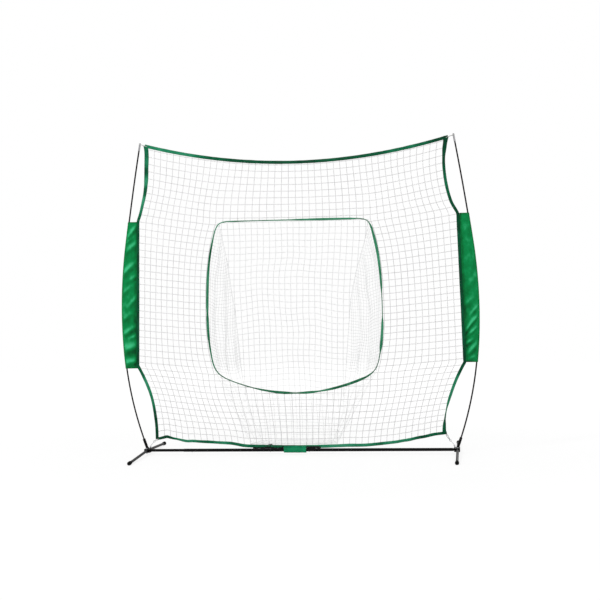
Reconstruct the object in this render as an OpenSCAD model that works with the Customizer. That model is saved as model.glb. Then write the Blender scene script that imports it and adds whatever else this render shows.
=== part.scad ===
// Pitching target net: a square net with a target hole and a catch pocket, held
// between two bowed poles that stand in a folding base. Millimetres, +Z up.
// X runs across the net, -Y is the pitcher's side, Z = 0 is the ground.
// The origin is under the middle of the base bar.

/* [Base bar] */
// Distance between the leg pivots of the two corner brackets
base_width = 2140; // [1800:10:2400]
// Height of the bar's axis above the ground
bar_height = 30; // [26:1:40]
// Outer diameter of the two long bar tubes
bar_od = 21.5; // [21:0.5:24]
// Wall of the long bar tubes
bar_wall = 1.1; // [0.8:0.1:1.2]
// Running clearance between a tube and the tube inside it, on radius
tube_play = 0.15; // [0.05:0.05:0.3]
// Wall of the inner tubes
inner_wall = 1.2; // [0.8:0.1:2]
// Length of each corner tube
corner_tube_len = 361; // [300:1:500]
// Length of the left corner tube that stays in the left bar tube
left_overlap = 90; // [60:1:150]
// Length of the right corner tube that stays in the right bar tube
right_overlap = 319; // [60:1:320]
// Position of the joint between the two long tubes
bar_joint_x = -37; // [-200:1:200]
// Length of the spigot inside that joint, on each side
spigot_half = 130; // [80:1:200]

/* [Snap buttons] */
// Diameter of a snap button
button_d = 5.8; // [4:0.2:7]
// Radial clearance of a button in its holes
button_play = 0.08; // [0.03:0.01:0.1]
// How far a button stands out below the bar tube
button_out = 3.5; // [2:0.5:5]
// Distance from the end of the inner tube to its button
button_inset = 33; // [20:1:50]
// Thickness of a button's leaf spring
leaf_t = 0.8; // [0.5:0.1:1]

/* [Corner brackets] */
// Sheet thickness of the folded bracket
plate_t = 2.5; // [1.5:0.5:4]
// Free height between a leg and the bracket's plates
plate_play = 0.4; // [0.3:0.1:2]
// Length of the bracket along Y
bracket_len = 78; // [70:1:100]
// Reach of the plates inwards from the pivots
plate_in = 24; // [16:1:40]
// Distance of the leg pivots from the bar's axis
pivot_off = 26; // [25:0.5:32]
// Distance from the pivots to the bracket's outer web
web_off = 13.5; // [13.2:0.1:20]
// Side of the square that cuts the bracket's inner corners
corner_cut = 14; // [6:1:20]

/* [Legs] */
// Length of a leg from its pivot to its end
leg_len = 495; // [300:5:600]
// Outer diameter of a leg tube
leg_od = 18; // [16:0.5:18]
// Wall of a leg tube
leg_wall = 1.2; // [0.8:0.1:2]
// Length of a leg behind its pivot
leg_root = 9; // [7:0.5:10]
// Diameter of the pivot bolts
bolt_d = 6; // [5:0.5:8]
// Radial clearance of a leg on its bolt
bolt_play = 0.08; // [0.03:0.01:0.1]
// Outer diameter of a rubber foot
foot_od = 27; // [24:0.5:30]
// Length of a rubber foot
foot_len = 42; // [30:1:60]
// Depth of the foot's flat sole at its middle
foot_flat = 0.7; // [0.3:0.1:1.5]

/* [Pole sockets] */
// Distance of the socket's foot outside the pivots
socket_off = 1; // [-2:0.5:3]
// Outward lean of the socket, in degrees
socket_lean = 19.2; // [16:0.1:21]
// Length of the socket along its axis
socket_len = 68; // [50:1:90]
// Outer diameter of the socket tube
socket_od = 19; // [17:0.5:22]
// Wall of the socket tube
socket_wall = 1.5; // [1:0.1:2]
// Height of the bush's collar above the socket
collar_h = 4; // [2:0.5:8]

/* [Poles] */
// Diameter of the glass fibre poles
pole_od = 10.5; // [8:0.5:12]
// Bore of the poles
pole_bore = 6; // [4:0.5:7]
// Length of each of a pole's three sections
pole_section = 705; // [650:1:760]
// Bending radius of the lower section
lower_bow_r = 2470; // [2200:10:3000]
// Bending radius of the middle section
middle_bow_r = 3500; // [3000:50:5000]
// Bending radius of the upper section
upper_bow_r = 18800; // [9000:100:30000]
// Length of a pole ferrule
ferrule_len = 80; // [50:5:100]
// Wall of a pole ferrule
ferrule_wall = 1.2; // [0.8:0.1:1.4]
// Length of the metal cap on the pole's tip
tip_len = 55; // [40:1:80]

/* [Net] */
// Distance of the net's top corners inwards from the poles' ends
top_corner_in = 48.8; // [40:0.1:120]
// Distance of the net's top corners below the poles' ends
top_corner_drop = 7.4; // [0:0.1:60]
// Sag of the net's top edge in the middle
top_sag = 138; // [60:2:240]
// Distance of the net's bottom corners inwards from the leg pivots
low_corner_in = 79; // [72:1:150]
// Height of the net's bottom corners
low_corner_z = 125; // [110:1:160]
// Free height between the bar and the binding in the middle
low_lift = 1; // [0.5:0.5:8]
// Inward curve of the free side edge above the sleeve
upper_side_sag = 40; // [10:1:60]
// Inward curve of the free side edge below the sleeve
lower_side_sag = 35; // [10:1:50]
// Width of the edge binding
band_w = 20; // [16:1:26]
// Thickness of the folded edge binding
band_t = 4.4; // [4.2:0.1:6]
// Diameter of the net's cord
cord_d = 3; // [2:0.2:3.4]
// Columns of meshes beside the target hole
side_columns = 5; // [3:1:6]
// Columns of meshes above the target hole
hole_columns = 10; // [6:1:12]
// Rows of meshes above and below the target hole
edge_rows = 4; // [3:1:5]
// Rows of meshes beside the target hole
hole_rows = 10; // [6:1:12]

/* [Target hole] */
// Sideways shift of the target hole from the middle
hole_shift = -25; // [-60:1:60]
// Height of the hole's top edge
hole_top_z = 1605; // [1500:5:1700]
// Half width of the hole at its top corners
hole_top_half = 520; // [400:1:560]
// Half width of the hole at its bottom corners
hole_low_half = 553; // [400:1:600]
// Height of the hole's bottom corners
hole_low_z = 555; // [500:5:700]
// Sideways bulge of the hole's sides
hole_bulge = 65; // [20:1:90]
// Sag of the hole's bottom edge below its corners
hole_sag = 136; // [40:1:180]
// Drop of the hole's top corners
hole_corner_drop = 5; // [5:1:40]
// Rounding of the hole's lower corners
hole_rounding = 2; // [2:1:8]
// Rounding of the hole's upper corners
hole_top_rounding = 1; // [1:1:6]
// Width of the hole's binding
hole_band_w = 18; // [12:1:24]

/* [Pocket] */
// Depth of the pocket behind the net at its bottom
pocket_depth = 210; // [120:5:400]
// Height of the pocket's bottom above the ground
pocket_low_z = 72; // [66:1:100]
// Half width of the back panel at its bottom
pocket_low_half = 225; // [150:5:300]
// Half width of the pocket's mouth at its bottom
pocket_front_half = 300; // [240:5:340]
// Sideways shift of the pocket's bottom from the hole's middle
pocket_shift = -32; // [-60:1:60]

/* [Pole sleeves] */
// Height of the sleeve's top hem
sleeve_top_z = 1622; // [1500:2:1700]
// Height of the sleeve's bottom hem
sleeve_low_z = 620; // [500:2:700]
// Width from the pole's axis to the net's binding at the sleeve's top
sleeve_top_w = 65.8; // [50:0.1:120]
// Width from the pole's axis to the net's binding at the sleeve's bottom
sleeve_low_w = 80.1; // [60:0.1:140]
// Thickness of the sleeve's fabric
fabric_t = 1.2; // [0.8:0.1:2]
// Free space between the fabric and the pole
sleeve_ease = 3; // [2.5:0.5:6]
// Half thickness of the sleeve between the pole and the seam
sleeve_puff = 13; // [8:0.5:16]

/* [Straps and cords] */
// Start of the bar strap along X
strap_from = -114; // [-160:1:-60]
// End of the bar strap along X
strap_to = 40; // [20:1:45]
// Slack of the strap below the bar
strap_slack = 7; // [2:0.5:8]
// Left end of the hook tape beside the bar strap
tape_from = -328; // [-400:1:-250]
// Right end of the hook tape
tape_to = 140; // [100:1:240]
// Height of the hook tape above the bar
tape_w = 15; // [8:1:18]
// Position of the cord tie round the bar
tie_x = -205; // [-240:1:-170]
// Diameter of the loops at the top corners
loop_d = 4; // [3:0.5:5]
// Diameter of the elastic cords at the bottom corners
elastic_d = 3; // [2:0.5:4]
// Diameter of the hook and eye wire
wire_d = 3; // [2:0.5:4]
// Length of a hook's shank
hook_len = 40; // [25:1:45]

/* [Hidden] */
$fn = 48;
sides = [["left", -1], ["right", 1]];

gap = 0.1;                                   // gap between sewn or laid-on pieces
steel = "#17181a";
zinc = "#b9bcc0";
green = "#0c7a40";
dark_green = "#0a5a30";
white_cord = "#eef0f0";

// Base
pivot_x = base_width / 2;
inner_od = bar_od - 2 * bar_wall - 2 * tube_play;
web_x = pivot_x + web_off;
left_end_x = -(web_x - corner_tube_len + left_overlap);
right_end_x = web_x - corner_tube_len + right_overlap;
left_button_x = -(web_x - corner_tube_len) - button_inset;
centre_button_x = bar_joint_x + spigot_half - button_inset;

// Legs
foot_z = foot_od / 2 - foot_flat;
leg_slope = asin((bar_height - foot_z) / (leg_len - foot_len / 2));
plate_gap = leg_od / cos(leg_slope) + 2 * plate_in * tan(leg_slope) + 2 * plate_play;
plate_top = bar_height + plate_gap / 2 + plate_t;
plate_low = bar_height - plate_gap / 2 - plate_t;

// Poles, in the plane of X and Z: three sections, each bent to one radius
socket_x = pivot_x + socket_off;
pole_start = 14;                              // pole's foot above the bracket, in the bush
in_bush = socket_len + collar_h - pole_start;
lean_dir = [sin(socket_lean), cos(socket_lean)];
deg = 180 / PI;
function around(a) = [cos(a), sin(a)];
function upward(a) = [-sin(a), cos(a)];
angle_0 = -socket_lean - in_bush / 2 / lower_bow_r * deg;
angle_1 = angle_0 + pole_section / lower_bow_r * deg;
angle_2 = angle_1 + pole_section / middle_bow_r * deg;
angle_3 = angle_2 + pole_section / upper_bow_r * deg;
centre_1 = [socket_x, plate_top] + (pole_start + in_bush / 2) * lean_dir
    - lower_bow_r * around(-socket_lean);
joint_1 = centre_1 + lower_bow_r * around(angle_1);
centre_2 = joint_1 - middle_bow_r * around(angle_1);
joint_2 = centre_2 + middle_bow_r * around(angle_2);
centre_3 = joint_2 - upper_bow_r * around(angle_2);
pole_end = centre_3 + upper_bow_r * around(angle_3);
bush_play = 0.1 + pow(in_bush, 2) / 8 / lower_bow_r;
ferrule_play = 0.1 + pow(ferrule_len / 2, 2) / 2 / lower_bow_r;
tip_play = 0.1;
tip_od = pole_od + 2.6;
neck_d = 8;
neck_up = 7;                                  // height of the tip's neck above the pole's end
neck_p = pole_end + neck_up * upward(angle_3);

// X of the pole's axis at a height
function arc_x(c, r, z) = c[0] + sqrt(pow(r, 2) - pow(z - c[1], 2));
function pole_x(z) = z < joint_1[1] ? arc_x(centre_1, lower_bow_r, z)
    : z < joint_2[1] ? arc_x(centre_2, middle_bow_r, z)
    : arc_x(centre_3, upper_bow_r, z);

// Net outline, as the middle line of its binding
top_corner_x = pole_end[0] - top_corner_in;
top_corner_z = pole_end[1] - top_corner_drop;
low_corner_x = pivot_x - low_corner_in;
seam_top_x = pole_x(sleeve_top_z) - sleeve_top_w;
seam_low_x = pole_x(sleeve_low_z) - sleeve_low_w;
low_mid_z = bar_height + bar_od / 2 + band_w / 2 + low_lift;
fold = 2;                                     // closed edge of the folded binding
seam_clear = 0.1;                             // free space round the net in the fold
curve_steps = 20;
function mix(a, b, t) = a + (b - a) * t;
function arch(t) = 4 * t * (1 - t);
function top_z(x) = top_corner_z - top_sag * (1 - pow(x / top_corner_x, 2));
function low_z(x) = low_mid_z + (low_corner_z - low_mid_z) * pow(x / low_corner_x, 2);
function side_x(z) = z > sleeve_top_z
    ? let (t = (top_corner_z - z) / (top_corner_z - sleeve_top_z))
        mix(top_corner_x, seam_top_x, t) - upper_side_sag * arch(t)
    : z > sleeve_low_z
        ? let (t = (sleeve_top_z - z) / (sleeve_top_z - sleeve_low_z))
            mix(seam_top_x, seam_low_x, t)
        : let (t = (sleeve_low_z - z) / (sleeve_low_z - low_corner_z))
            mix(seam_low_x, low_corner_x, t) - lower_side_sag * arch(t);
top_line = [for (i = [0:2 * curve_steps])
    let (x = mix(-top_corner_x, top_corner_x, i / (2 * curve_steps))) [x, top_z(x)]];
low_line = [for (i = [0:2 * curve_steps])
    let (x = mix(low_corner_x, -low_corner_x, i / (2 * curve_steps))) [x, low_z(x)]];
side_line = concat(
    [for (i = [0:curve_steps / 2])
        let (z = mix(top_corner_z, sleeve_top_z, 2 * i / curve_steps)) [side_x(z), z]],
    [for (i = [0:curve_steps / 2])
        let (z = mix(sleeve_low_z, low_corner_z, 2 * i / curve_steps)) [side_x(z), z]]);
function mirrored(line) = [for (i = [len(line) - 1:-1:0]) [-line[i][0], line[i][1]]];
function inner(line) = [for (i = [1:len(line) - 2]) line[i]];
net_line = concat(top_line, inner(side_line), low_line, inner(mirrored(side_line)));

// Hole outline, clockwise from the top left corner, as the middle line of its binding
hole_top_corner_z = hole_top_z - hole_corner_drop;
function hole_top_p(t) = [hole_shift + mix(-hole_top_half, hole_top_half, t),
    hole_top_z - hole_corner_drop * pow(abs(2 * t - 1), 8)];
function hole_side_x(t) = mix(hole_top_half, hole_low_half, t)
    + hole_bulge * (1 - pow(abs(2 * t - 1), 2.6));
function hole_side_p(s, t) = [hole_shift + s * hole_side_x(t),
    mix(hole_top_corner_z, hole_low_z, t)];
function hole_low_p(t) = [hole_shift + mix(-hole_low_half, hole_low_half, t),
    hole_low_z - hole_sag * (1 - pow(2 * t - 1, 2))];
across = 2 * hole_columns;                    // points along the hole's top and bottom
down = 2 * hole_rows;                         // points along each side
function rounded(line, low, top) = max(low, top) <= 0 ? line
    : rounded([for (i = [0:len(line) - 1]) let (m = len(line))
        (line[i][1] > (hole_top_z + hole_low_z) / 2 ? top : low) <= 0 ? line[i]
        : (line[(i + m - 1) % m] + 2 * line[i] + line[(i + 1) % m]) / 4], low - 1, top - 1);
hole_line = rounded(concat(
    [for (i = [0:across]) hole_top_p(i / across)],
    [for (i = [1:down]) hole_side_p(1, i / down)],
    [for (i = [across - 1:-1:0]) hole_low_p(i / across)],
    [for (i = [down - 1:-1:1]) hole_side_p(-1, i / down)]), hole_rounding, hole_top_rounding);

// Closed line moved outwards by d; the lines run clockwise
function unit(v) = v / norm(v);
function side_of(v) = [-v[1], v[0]];
function moved(line, d) = [for (i = [0:len(line) - 1])
    let (n = len(line),
        a = unit(line[i] - line[(i + n - 1) % n]),
        b = unit(line[(i + 1) % n] - line[i]),
        m = side_of(unit(a + b)))
    line[i] + m * d / max(0.75, m * side_of(a))];
// Strip of width w along an open line
function strip(line, w) = let (n = len(line),
    sides = [for (i = [0:n - 1])
        side_of(unit(line[min(i + 1, n - 1)] - line[max(i - 1, 0)])) * w / 2])
    concat([for (i = [0:n - 1]) line[i] + sides[i]],
        [for (i = [n - 1:-1:0]) line[i] - sides[i]]);

// Meshes: a grid of points that follows the net's and the hole's outlines
columns = 2 * side_columns + hole_columns;
rows = 2 * edge_rows + hole_rows;
row_top_z = hole_top_corner_z + 75;           // side height of the row at the hole's top
row_low_z = hole_low_z + 85;                  // side height of the row at the hole's bottom
edge_in = band_w / 2;
hole_out = hole_band_w / 2;
function side_row_z(j) = j <= edge_rows
    ? mix(top_corner_z - edge_in, row_top_z, j / edge_rows)
    : j <= edge_rows + hole_rows
        ? mix(row_top_z, row_low_z, (j - edge_rows) / hole_rows)
        : mix(row_low_z, low_corner_z + edge_in, (j - edge_rows - hole_rows) / edge_rows);
function on_top(i) = let (x = mix(-1, 1, i / columns) * (top_corner_x - edge_in))
    [x, top_z(x) - edge_in];
function on_low(i) = let (x = mix(-1, 1, i / columns) * (low_corner_x - edge_in))
    [x, low_z(x) + edge_in];
function on_side(s, j) = let (z = side_row_z(j)) [s * (side_x(z) - edge_in), z];
hole_rim = moved(hole_line, hole_out);        // outer edge of the hole's binding
function hole_top_at(i) = hole_rim[2 * (i - side_columns)];
function hole_low_at(i) = hole_rim[2 * across + down - 2 * (i - side_columns)];
function hole_side_at(s, j) = let (k = 2 * (j - edge_rows))
    hole_rim[s > 0 ? across + k : (2 * across + 2 * down - k) % (2 * across + 2 * down)];
// Corner block between two outer curves and two straight lines
function corner_point(a, b, c, d, p00, p10, p01, p11, u, v) =
    mix(a, b, v) + mix(c, d, u)
    - mix(mix(p00, p10, u), mix(p01, p11, u), v);
function corner_mesh(s, low, i, j) =
    let (ic = s < 0 ? side_columns : side_columns + hole_columns,
        jc = low ? edge_rows + hole_rows : edge_rows,
        ie = s < 0 ? 0 : columns,
        je = low ? rows : 0,
        u = (i - ie) / (ic - ie),
        v = (j - je) / (jc - je),
        out_i = low ? on_low(i) : on_top(i),
        out_c = low ? on_low(ic) : on_top(ic),
        hole_c = low ? hole_low_at(ic) : hole_top_at(ic),
        side_c = on_side(s, jc))
    corner_point(out_i, mix(side_c, hole_c, u), on_side(s, j), mix(out_c, hole_c, v),
        on_side(s, je), out_c, side_c, hole_c, u, v);
function mesh_point(i, j) =
    let (left = i <= side_columns,
        right = i >= side_columns + hole_columns,
        above = j <= edge_rows,
        below = j >= edge_rows + hole_rows,
        s = left ? -1 : 1)
    (left || right) && (above || below) ? corner_mesh(s, below, i, j)
    : above ? mix(on_top(i), hole_top_at(i), j / edge_rows)
    : below ? mix(hole_low_at(i), on_low(i), (j - edge_rows - hole_rows) / edge_rows)
    : left ? mix(on_side(-1, j), hole_side_at(-1, j), i / side_columns)
    : mix(hole_side_at(1, j), on_side(1, j),
        (i - side_columns - hole_columns) / side_columns);
function in_hole(i, j) = i >= side_columns && i < side_columns + hole_columns
    && j >= edge_rows && j < edge_rows + hole_rows;
// Quadrilateral between four corners, drawn in by half a cord on every side
function quad_at(a, b, c, d, u, v) = mix(mix(a, b, u), mix(d, c, u), v);
function mesh_hole(a, b, c, d, t) =
    let (eu = min(0.42, t / norm(b + c - a - d)), ev = min(0.42, t / norm(c + d - a - b)))
    [quad_at(a, b, c, d, eu, ev), quad_at(a, b, c, d, 1 - eu, ev),
        quad_at(a, b, c, d, 1 - eu, 1 - ev), quad_at(a, b, c, d, eu, 1 - ev)];

// Pocket surfaces, from the hole's binding back to the back panel
pocket_top_z = hole_top_z - 10;
pocket_face = band_t / 2 + cord_d / 2 + 0.4;
function pocket_mid(v) = hole_shift + pocket_shift * v;
function pocket_y(v) = pocket_face + 8 + pocket_depth * (1 - pow(1 - v, 2));
function pocket_half(v) = mix(hole_top_half - 8, pocket_low_half + 90, v)
    - (v > 0.72 ? (v - 0.72) / 0.28 * 90 : 0);
function back_p(u, v) = [pocket_mid(v) + pocket_half(v) * (2 * u - 1), pocket_y(v),
    mix(pocket_top_z, pocket_low_z, v)];
function mouth_p(s, v) =
    let (z = mix(pocket_top_z, pocket_low_z, v),
        t = (hole_top_corner_z - z) / (hole_top_corner_z - hole_low_z),
        k = (hole_low_z - z) / (hole_low_z - pocket_low_z))
    t < 0 ? [hole_shift + s * hole_top_half, pocket_face, z]
    : t <= 1 ? [hole_shift + s * hole_side_x(t), pocket_face, z]
    : [mix(hole_shift + s * hole_low_half, pocket_mid(1) + s * pocket_front_half, k),
        pocket_face + 5 * k, z];
// Side panel point: u from the mouth to the back panel
function side_p(s, u, v) = mix(mouth_p(s, v), back_p((s + 1) / 2, v) + [s * (cord_d + gap), 0, 0], u);
function floor_p(u, v) = mix(
    mix(mouth_p(-1, 1), mouth_p(1, 1), u),
    mix(back_p(0, 1), back_p(1, 1), u), v) - [0, 0, cord_d + gap + 12 * arch(v) * arch(u)];

// Shapes used by several pieces
module side(s) {
    if (s > 0) children();
    else mirror([1, 0, 0]) children();
}
module pipe(od, id, h) {
    difference() {
        cylinder(d = od, h = h);
        translate([0, 0, -1]) cylinder(d = id, h = h + 2);
    }
}
// Straight tube from a point in the X-Z plane, leaning outwards by an angle
module leaning_pipe(p, lean, od, id, h) {
    translate([p[0], 0, p[1]]) rotate([0, lean, 0]) pipe(od, id, h);
}
// Bent tube round a centre in the X-Z plane, between two angles
module bent_pipe(c, r, a0, a1, od, id) {
    free = gap / 2 / r * deg;
    translate([c[0], 0, c[1]]) rotate([90, 0, 0]) rotate([0, 0, a0 + free])
        rotate_extrude(angle = a1 - a0 - 2 * free, $fn = 2880) translate([r, 0]) difference() {
            circle(d = od, $fn = 32);
            circle(d = id, $fn = 32);
        }
}
module half_ring(r, d, from) {
    rotate([0, 0, from]) rotate_extrude(angle = 180, $fn = 48) translate([r, 0])
        circle(d = d, $fn = 24);
}
module rod(p, q, d) {
    v = q - p;
    translate(p) rotate([0, acos(v[2] / norm(v)), atan2(v[1], v[0])])
        cylinder(d = d, h = norm(v), $fn = 24);
}
// Loop of cord from round a post at a to a point b, both in the X-Z plane
module cord_loop(a, b, half_w, d) {
    v = b - a;
    run = norm(v) - half_w;
    translate([a[0], 0, a[1]]) rotate([0, -atan2(v[1], v[0]), 0]) union() {
        half_ring(half_w, d, 90);
        translate([run, 0, 0]) half_ring(half_w, d, -90);
        for (s = [-1, 1])
            translate([0, s * half_w, 0]) rotate([0, 90, 0])
                cylinder(d = d, h = run, $fn = 24);
    }
}
// Upright plate from an outline in the X-Z plane, centred on Y = 0
module upright(t) {
    rotate([90, 0, 0]) translate([0, 0, -t / 2]) linear_extrude(t) children();
}
// Rows first to first + n of a net sheet over a grid of points, m meshes wide and all rows
// high: cords of width t round m by n meshes. The points are a list of rows.
seam_gap = 0.15;                              // half the gap between two parts of a net
module net_sheet(pts, m, all, t, first, n) {
    w = m + 1;
    raw = function (i, j) pts[(first + j) * w + i];
    pull = function (i, j, to) let (v = raw(i, to) - raw(i, j)) raw(i, j) + v * seam_gap / norm(v);
    corner = function (i, j) j == 0 && first > 0 ? pull(i, 0, 1)
        : j == n && first + n < all ? pull(i, n, n - 1) : raw(i, j);
    normal = function (i, j)
        let (du = raw(min(i + 1, m), j) - raw(max(i - 1, 0), j),
            dv = raw(i, min(j + 1, all - first)) - raw(i, max(j - 1, -first)),
            c = cross(du, dv))
        c / norm(c) * t / 2;
    grid = [for (j = [0:n], i = [0:m]) corner(i, j) + normal(i, j)];
    back = [for (j = [0:n], i = [0:m]) corner(i, j) - normal(i, j)];
    cells = [for (j = [0:n - 1], i = [0:m - 1]) [i, j]];
    holes = [for (c = cells) let (i = c[0], j = c[1])
        mesh_hole(corner(i, j), corner(i + 1, j), corner(i + 1, j + 1), corner(i, j + 1), t)];
    shift = [for (c = cells) let (i = c[0], j = c[1])
        (normal(i, j) + normal(i + 1, j) + normal(i + 1, j + 1) + normal(i, j + 1)) / 4];
    front_holes = [for (k = [0:len(cells) - 1], p = holes[k]) p + shift[k]];
    back_holes = [for (k = [0:len(cells) - 1], p = holes[k]) p - shift[k]];
    g = len(grid);
    h = len(front_holes);
    frames = [for (k = [0:len(cells) - 1])
        let (i = cells[k][0], j = cells[k][1],
            o = [j * w + i, j * w + i + 1, (j + 1) * w + i + 1, (j + 1) * w + i])
        each [for (e = [0:3]) let (f = (e + 1) % 4, p = 2 * g + 4 * k, q = p + h)
            each [[o[e], o[f], p + f], [o[e], p + f, p + e],
                [g + o[f], g + o[e], q + e], [g + o[f], q + e, q + f],
                [p + e, p + f, q + f], [p + e, q + f, q + e]]]];
    rim = concat([for (i = [0:m - 1]) i], [for (j = [0:n - 1]) j * w + m],
        [for (i = [m:-1:1]) n * w + i], [for (j = [n:-1:1]) j * w]);
    r = len(rim);
    walls = [for (k = [0:r - 1]) let (a = rim[k], b = rim[(k + 1) % r])
        each [[a, g + a, g + b], [a, g + b, b]]];
    polyhedron(concat(grid, back, front_holes, back_holes), concat(frames, walls));
}

// Base
module corner_bracket(s) {
    color(steel) side(s) difference() {
        translate([0, bracket_len / 2, 0]) rotate([90, 0, 0]) linear_extrude(bracket_len)
            difference() {
                translate([pivot_x - plate_in, plate_low])
                    square([plate_in + web_off + plate_t, plate_top - plate_low]);
                translate([pivot_x - plate_in - 1, plate_low + plate_t])
                    square([plate_in + web_off + 1, plate_gap]);
            }
        for (y = [-1, 1]) translate([pivot_x, y * pivot_off, 0])
            cylinder(d = bolt_d + 0.4, h = plate_top + 5);
        for (y = [-1, 1]) translate([pivot_x - plate_in, y * bracket_len / 2, 0])
            rotate([0, 0, 45]) cube([corner_cut, corner_cut, 4 * plate_top], center = true);
    }
}
module corner_tube(s) {
    color(steel) side(s) difference() {
        translate([web_x, 0, bar_height]) rotate([0, -90, 0])
            pipe(inner_od, inner_od - 2 * inner_wall, corner_tube_len);
        if (s < 0) translate([-left_button_x, 0, 0])
            cylinder(d = button_d + 2 * button_play, h = bar_height);
    }
}
module bar_tube(x0, x1, button_x) {
    color(steel) difference() {
        translate([x0, 0, bar_height]) rotate([0, 90, 0])
            pipe(bar_od, bar_od - 2 * bar_wall, x1 - x0);
        translate([button_x, 0, 0]) cylinder(d = button_d + 2 * button_play, h = bar_height);
    }
}
module bar_spigot() {
    color(steel) difference() {
        translate([bar_joint_x - spigot_half, 0, bar_height]) rotate([0, 90, 0])
            pipe(inner_od, inner_od - 2 * inner_wall, 2 * spigot_half);
        translate([centre_button_x, 0, 0])
            cylinder(d = button_d + 2 * button_play, h = bar_height);
    }
}
button_tip = bar_height - bar_od / 2 - button_out;
button_head = bar_height - sqrt(pow(inner_od / 2 - inner_wall, 2) - pow(4, 2)) + 0.1;
module snap_button(x) {
    color(zinc) translate([x, 0, 0]) union() {
        intersection() {
            translate([0, 0, button_tip + 4]) sphere(r = 4);
            translate([0, 0, button_tip - 1]) cylinder(d = button_d, h = 3);
        }
        translate([0, 0, button_tip + 2]) cylinder(d = button_d, h = button_head - button_tip - 2);
        translate([0, 0, button_head]) cylinder(r = 4, h = 1);
    }
}
module button_spring(x) {
    low = button_head + 1 + gap;
    top = bar_height + sqrt(pow(inner_od / 2 - inner_wall, 2) - pow(3, 2)) - gap;
    color(zinc) translate([x, 3, 0]) mirror([1, 0, 0]) rotate([90, 0, 0]) linear_extrude(6)
        polygon([[-5, low], [4, low], [40, mix(low, top, 0.4)], [43, mix(low, top, 0.5)],
            [40, mix(low, top, 0.6)], [4, top], [-5, top], [-5, top - leaf_t],
            [4, top - leaf_t], [39.2, mix(low, top, 0.55)], [41.4, mix(low, top, 0.5)],
            [39.2, mix(low, top, 0.45)], [4, low + leaf_t], [-5, low + leaf_t]]);
}

// Legs: each runs from its pivot along -Y (front) or +Y (rear), down to its foot
module at_legs(sx, sy) {
    side(sx) translate([pivot_x, 0, 0])
        mirror([0, sy > 0 ? 1 : 0, 0]) translate([0, -pivot_off, 0]) children();
}
module along_leg() {
    translate([0, 0, bar_height]) rotate([90 + leg_slope, 0, 0]) children();
}
module leg(sx, sy) {
    color(steel) at_legs(sx, sy) difference() {
        along_leg() translate([0, 0, -leg_root])
            pipe(leg_od, leg_od - 2 * leg_wall, leg_len + leg_root);
        cylinder(d = bolt_d + 2 * bolt_play, h = 2 * bar_height);
    }
}
module foot(sx, sy) {
    color("#101112") at_legs(sx, sy) difference() {
        along_leg() difference() {
            translate([0, 0, leg_len + 4 - foot_len]) cylinder(d = foot_od, h = foot_len);
            translate([0, 0, leg_len - foot_len]) cylinder(d = leg_od + 0.1, h = foot_len);
        }
        translate([-foot_od, -leg_len - foot_len, -foot_od]) cube([2 * foot_od, leg_len, foot_od]);
    }
}
module at_pivots() {
    for (sx = [-1, 1], sy = [-1, 1])
        translate([sx * pivot_x, sy * pivot_off, 0]) children();
}
washer_t = 1;
module leg_pivot_bolts() {
    color(zinc) at_pivots() union() {
        translate([0, 0, plate_low - 8]) cylinder(d = bolt_d, h = plate_top - plate_low + 9);
        translate([0, 0, plate_top + washer_t])
            cylinder(d = bolt_d * 1.9, h = bolt_d * 0.66, $fn = 6);
    }
}
module leg_pivot_nuts() {
    color(zinc) at_pivots() translate([0, 0, plate_low - washer_t - bolt_d * 0.8]) difference() {
        cylinder(d = bolt_d * 1.9, h = bolt_d * 0.8, $fn = 6);
        translate([0, 0, -1]) cylinder(d = bolt_d + 0.1, h = bolt_d + 2);
    }
}
module leg_pivot_washers() {
    color(zinc) at_pivots() for (z = [plate_low - washer_t, plate_top])
        translate([0, 0, z]) pipe(bolt_d * 2.1, bolt_d + 0.4, washer_t);
}

// Poles
module pole_socket(s) {
    color(steel) side(s) difference() {
        leaning_pipe([socket_x, plate_top] - 12 * lean_dir, socket_lean, socket_od,
            socket_od - 2 * socket_wall, socket_len + 12);
        translate([socket_x - 50, -50, plate_top - 50]) cube([100, 100, 50]);
    }
}
module socket_bush(s) {
    color("#222325") side(s) translate([socket_x, 0, plate_top])
        rotate([0, socket_lean, 0]) difference() {
            union() {
                translate([0, 0, pole_start - 4])
                    cylinder(d = socket_od - 2 * socket_wall, h = socket_len - pole_start + 4);
                translate([0, 0, socket_len]) cylinder(d = socket_od, h = collar_h);
            }
            translate([0, 0, pole_start]) cylinder(d = pole_od + 2 * bush_play, h = socket_len);
        }
}
module pole_lower(s) {
    color(steel) side(s)
        bent_pipe(centre_1, lower_bow_r, angle_0, angle_1, pole_od, pole_bore);
}
module pole_middle(s) {
    color(steel) side(s)
        bent_pipe(centre_2, middle_bow_r, angle_1, angle_2, pole_od, pole_bore);
}
module pole_upper(s) {
    color(steel) side(s)
        bent_pipe(centre_3, upper_bow_r, angle_2, angle_3, pole_od, pole_bore);
}
module ferrule(p, a) {
    id = pole_od + 2 * ferrule_play;
    leaning_pipe(p - ferrule_len / 2 * upward(a), -a, id + 2 * ferrule_wall, id, ferrule_len);
}
module pole_ferrules(s) {
    color(zinc) side(s) {
        ferrule(joint_1, angle_1);
        ferrule(joint_2, angle_2);
    }
}
module pole_tip(s) {
    neck_h = loop_d + 3;
    top = neck_up + neck_h / 2;
    color(zinc) side(s) translate([pole_end[0], 0, pole_end[1]]) rotate([0, -angle_3, 0])
        difference() {
            union() {
                translate([0, 0, top + 6 - tip_len])
                    cylinder(d = tip_od, h = tip_len - 6 - neck_h);
                cylinder(d = neck_d, h = top + 1);
                translate([0, 0, top]) cylinder(d = tip_od - 1, h = 2);
                translate([0, 0, top + 2]) intersection() {
                    translate([0, 0, -4]) sphere(d = tip_od + 3);
                    cylinder(d = tip_od - 1, h = 6);
                }
            }
            translate([0, 0, -tip_len]) cylinder(d = pole_od + 2 * tip_play, h = tip_len);
        }
}

// Net and bindings
module outline_2d(d) {
    polygon(moved(net_line, d));
}
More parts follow.
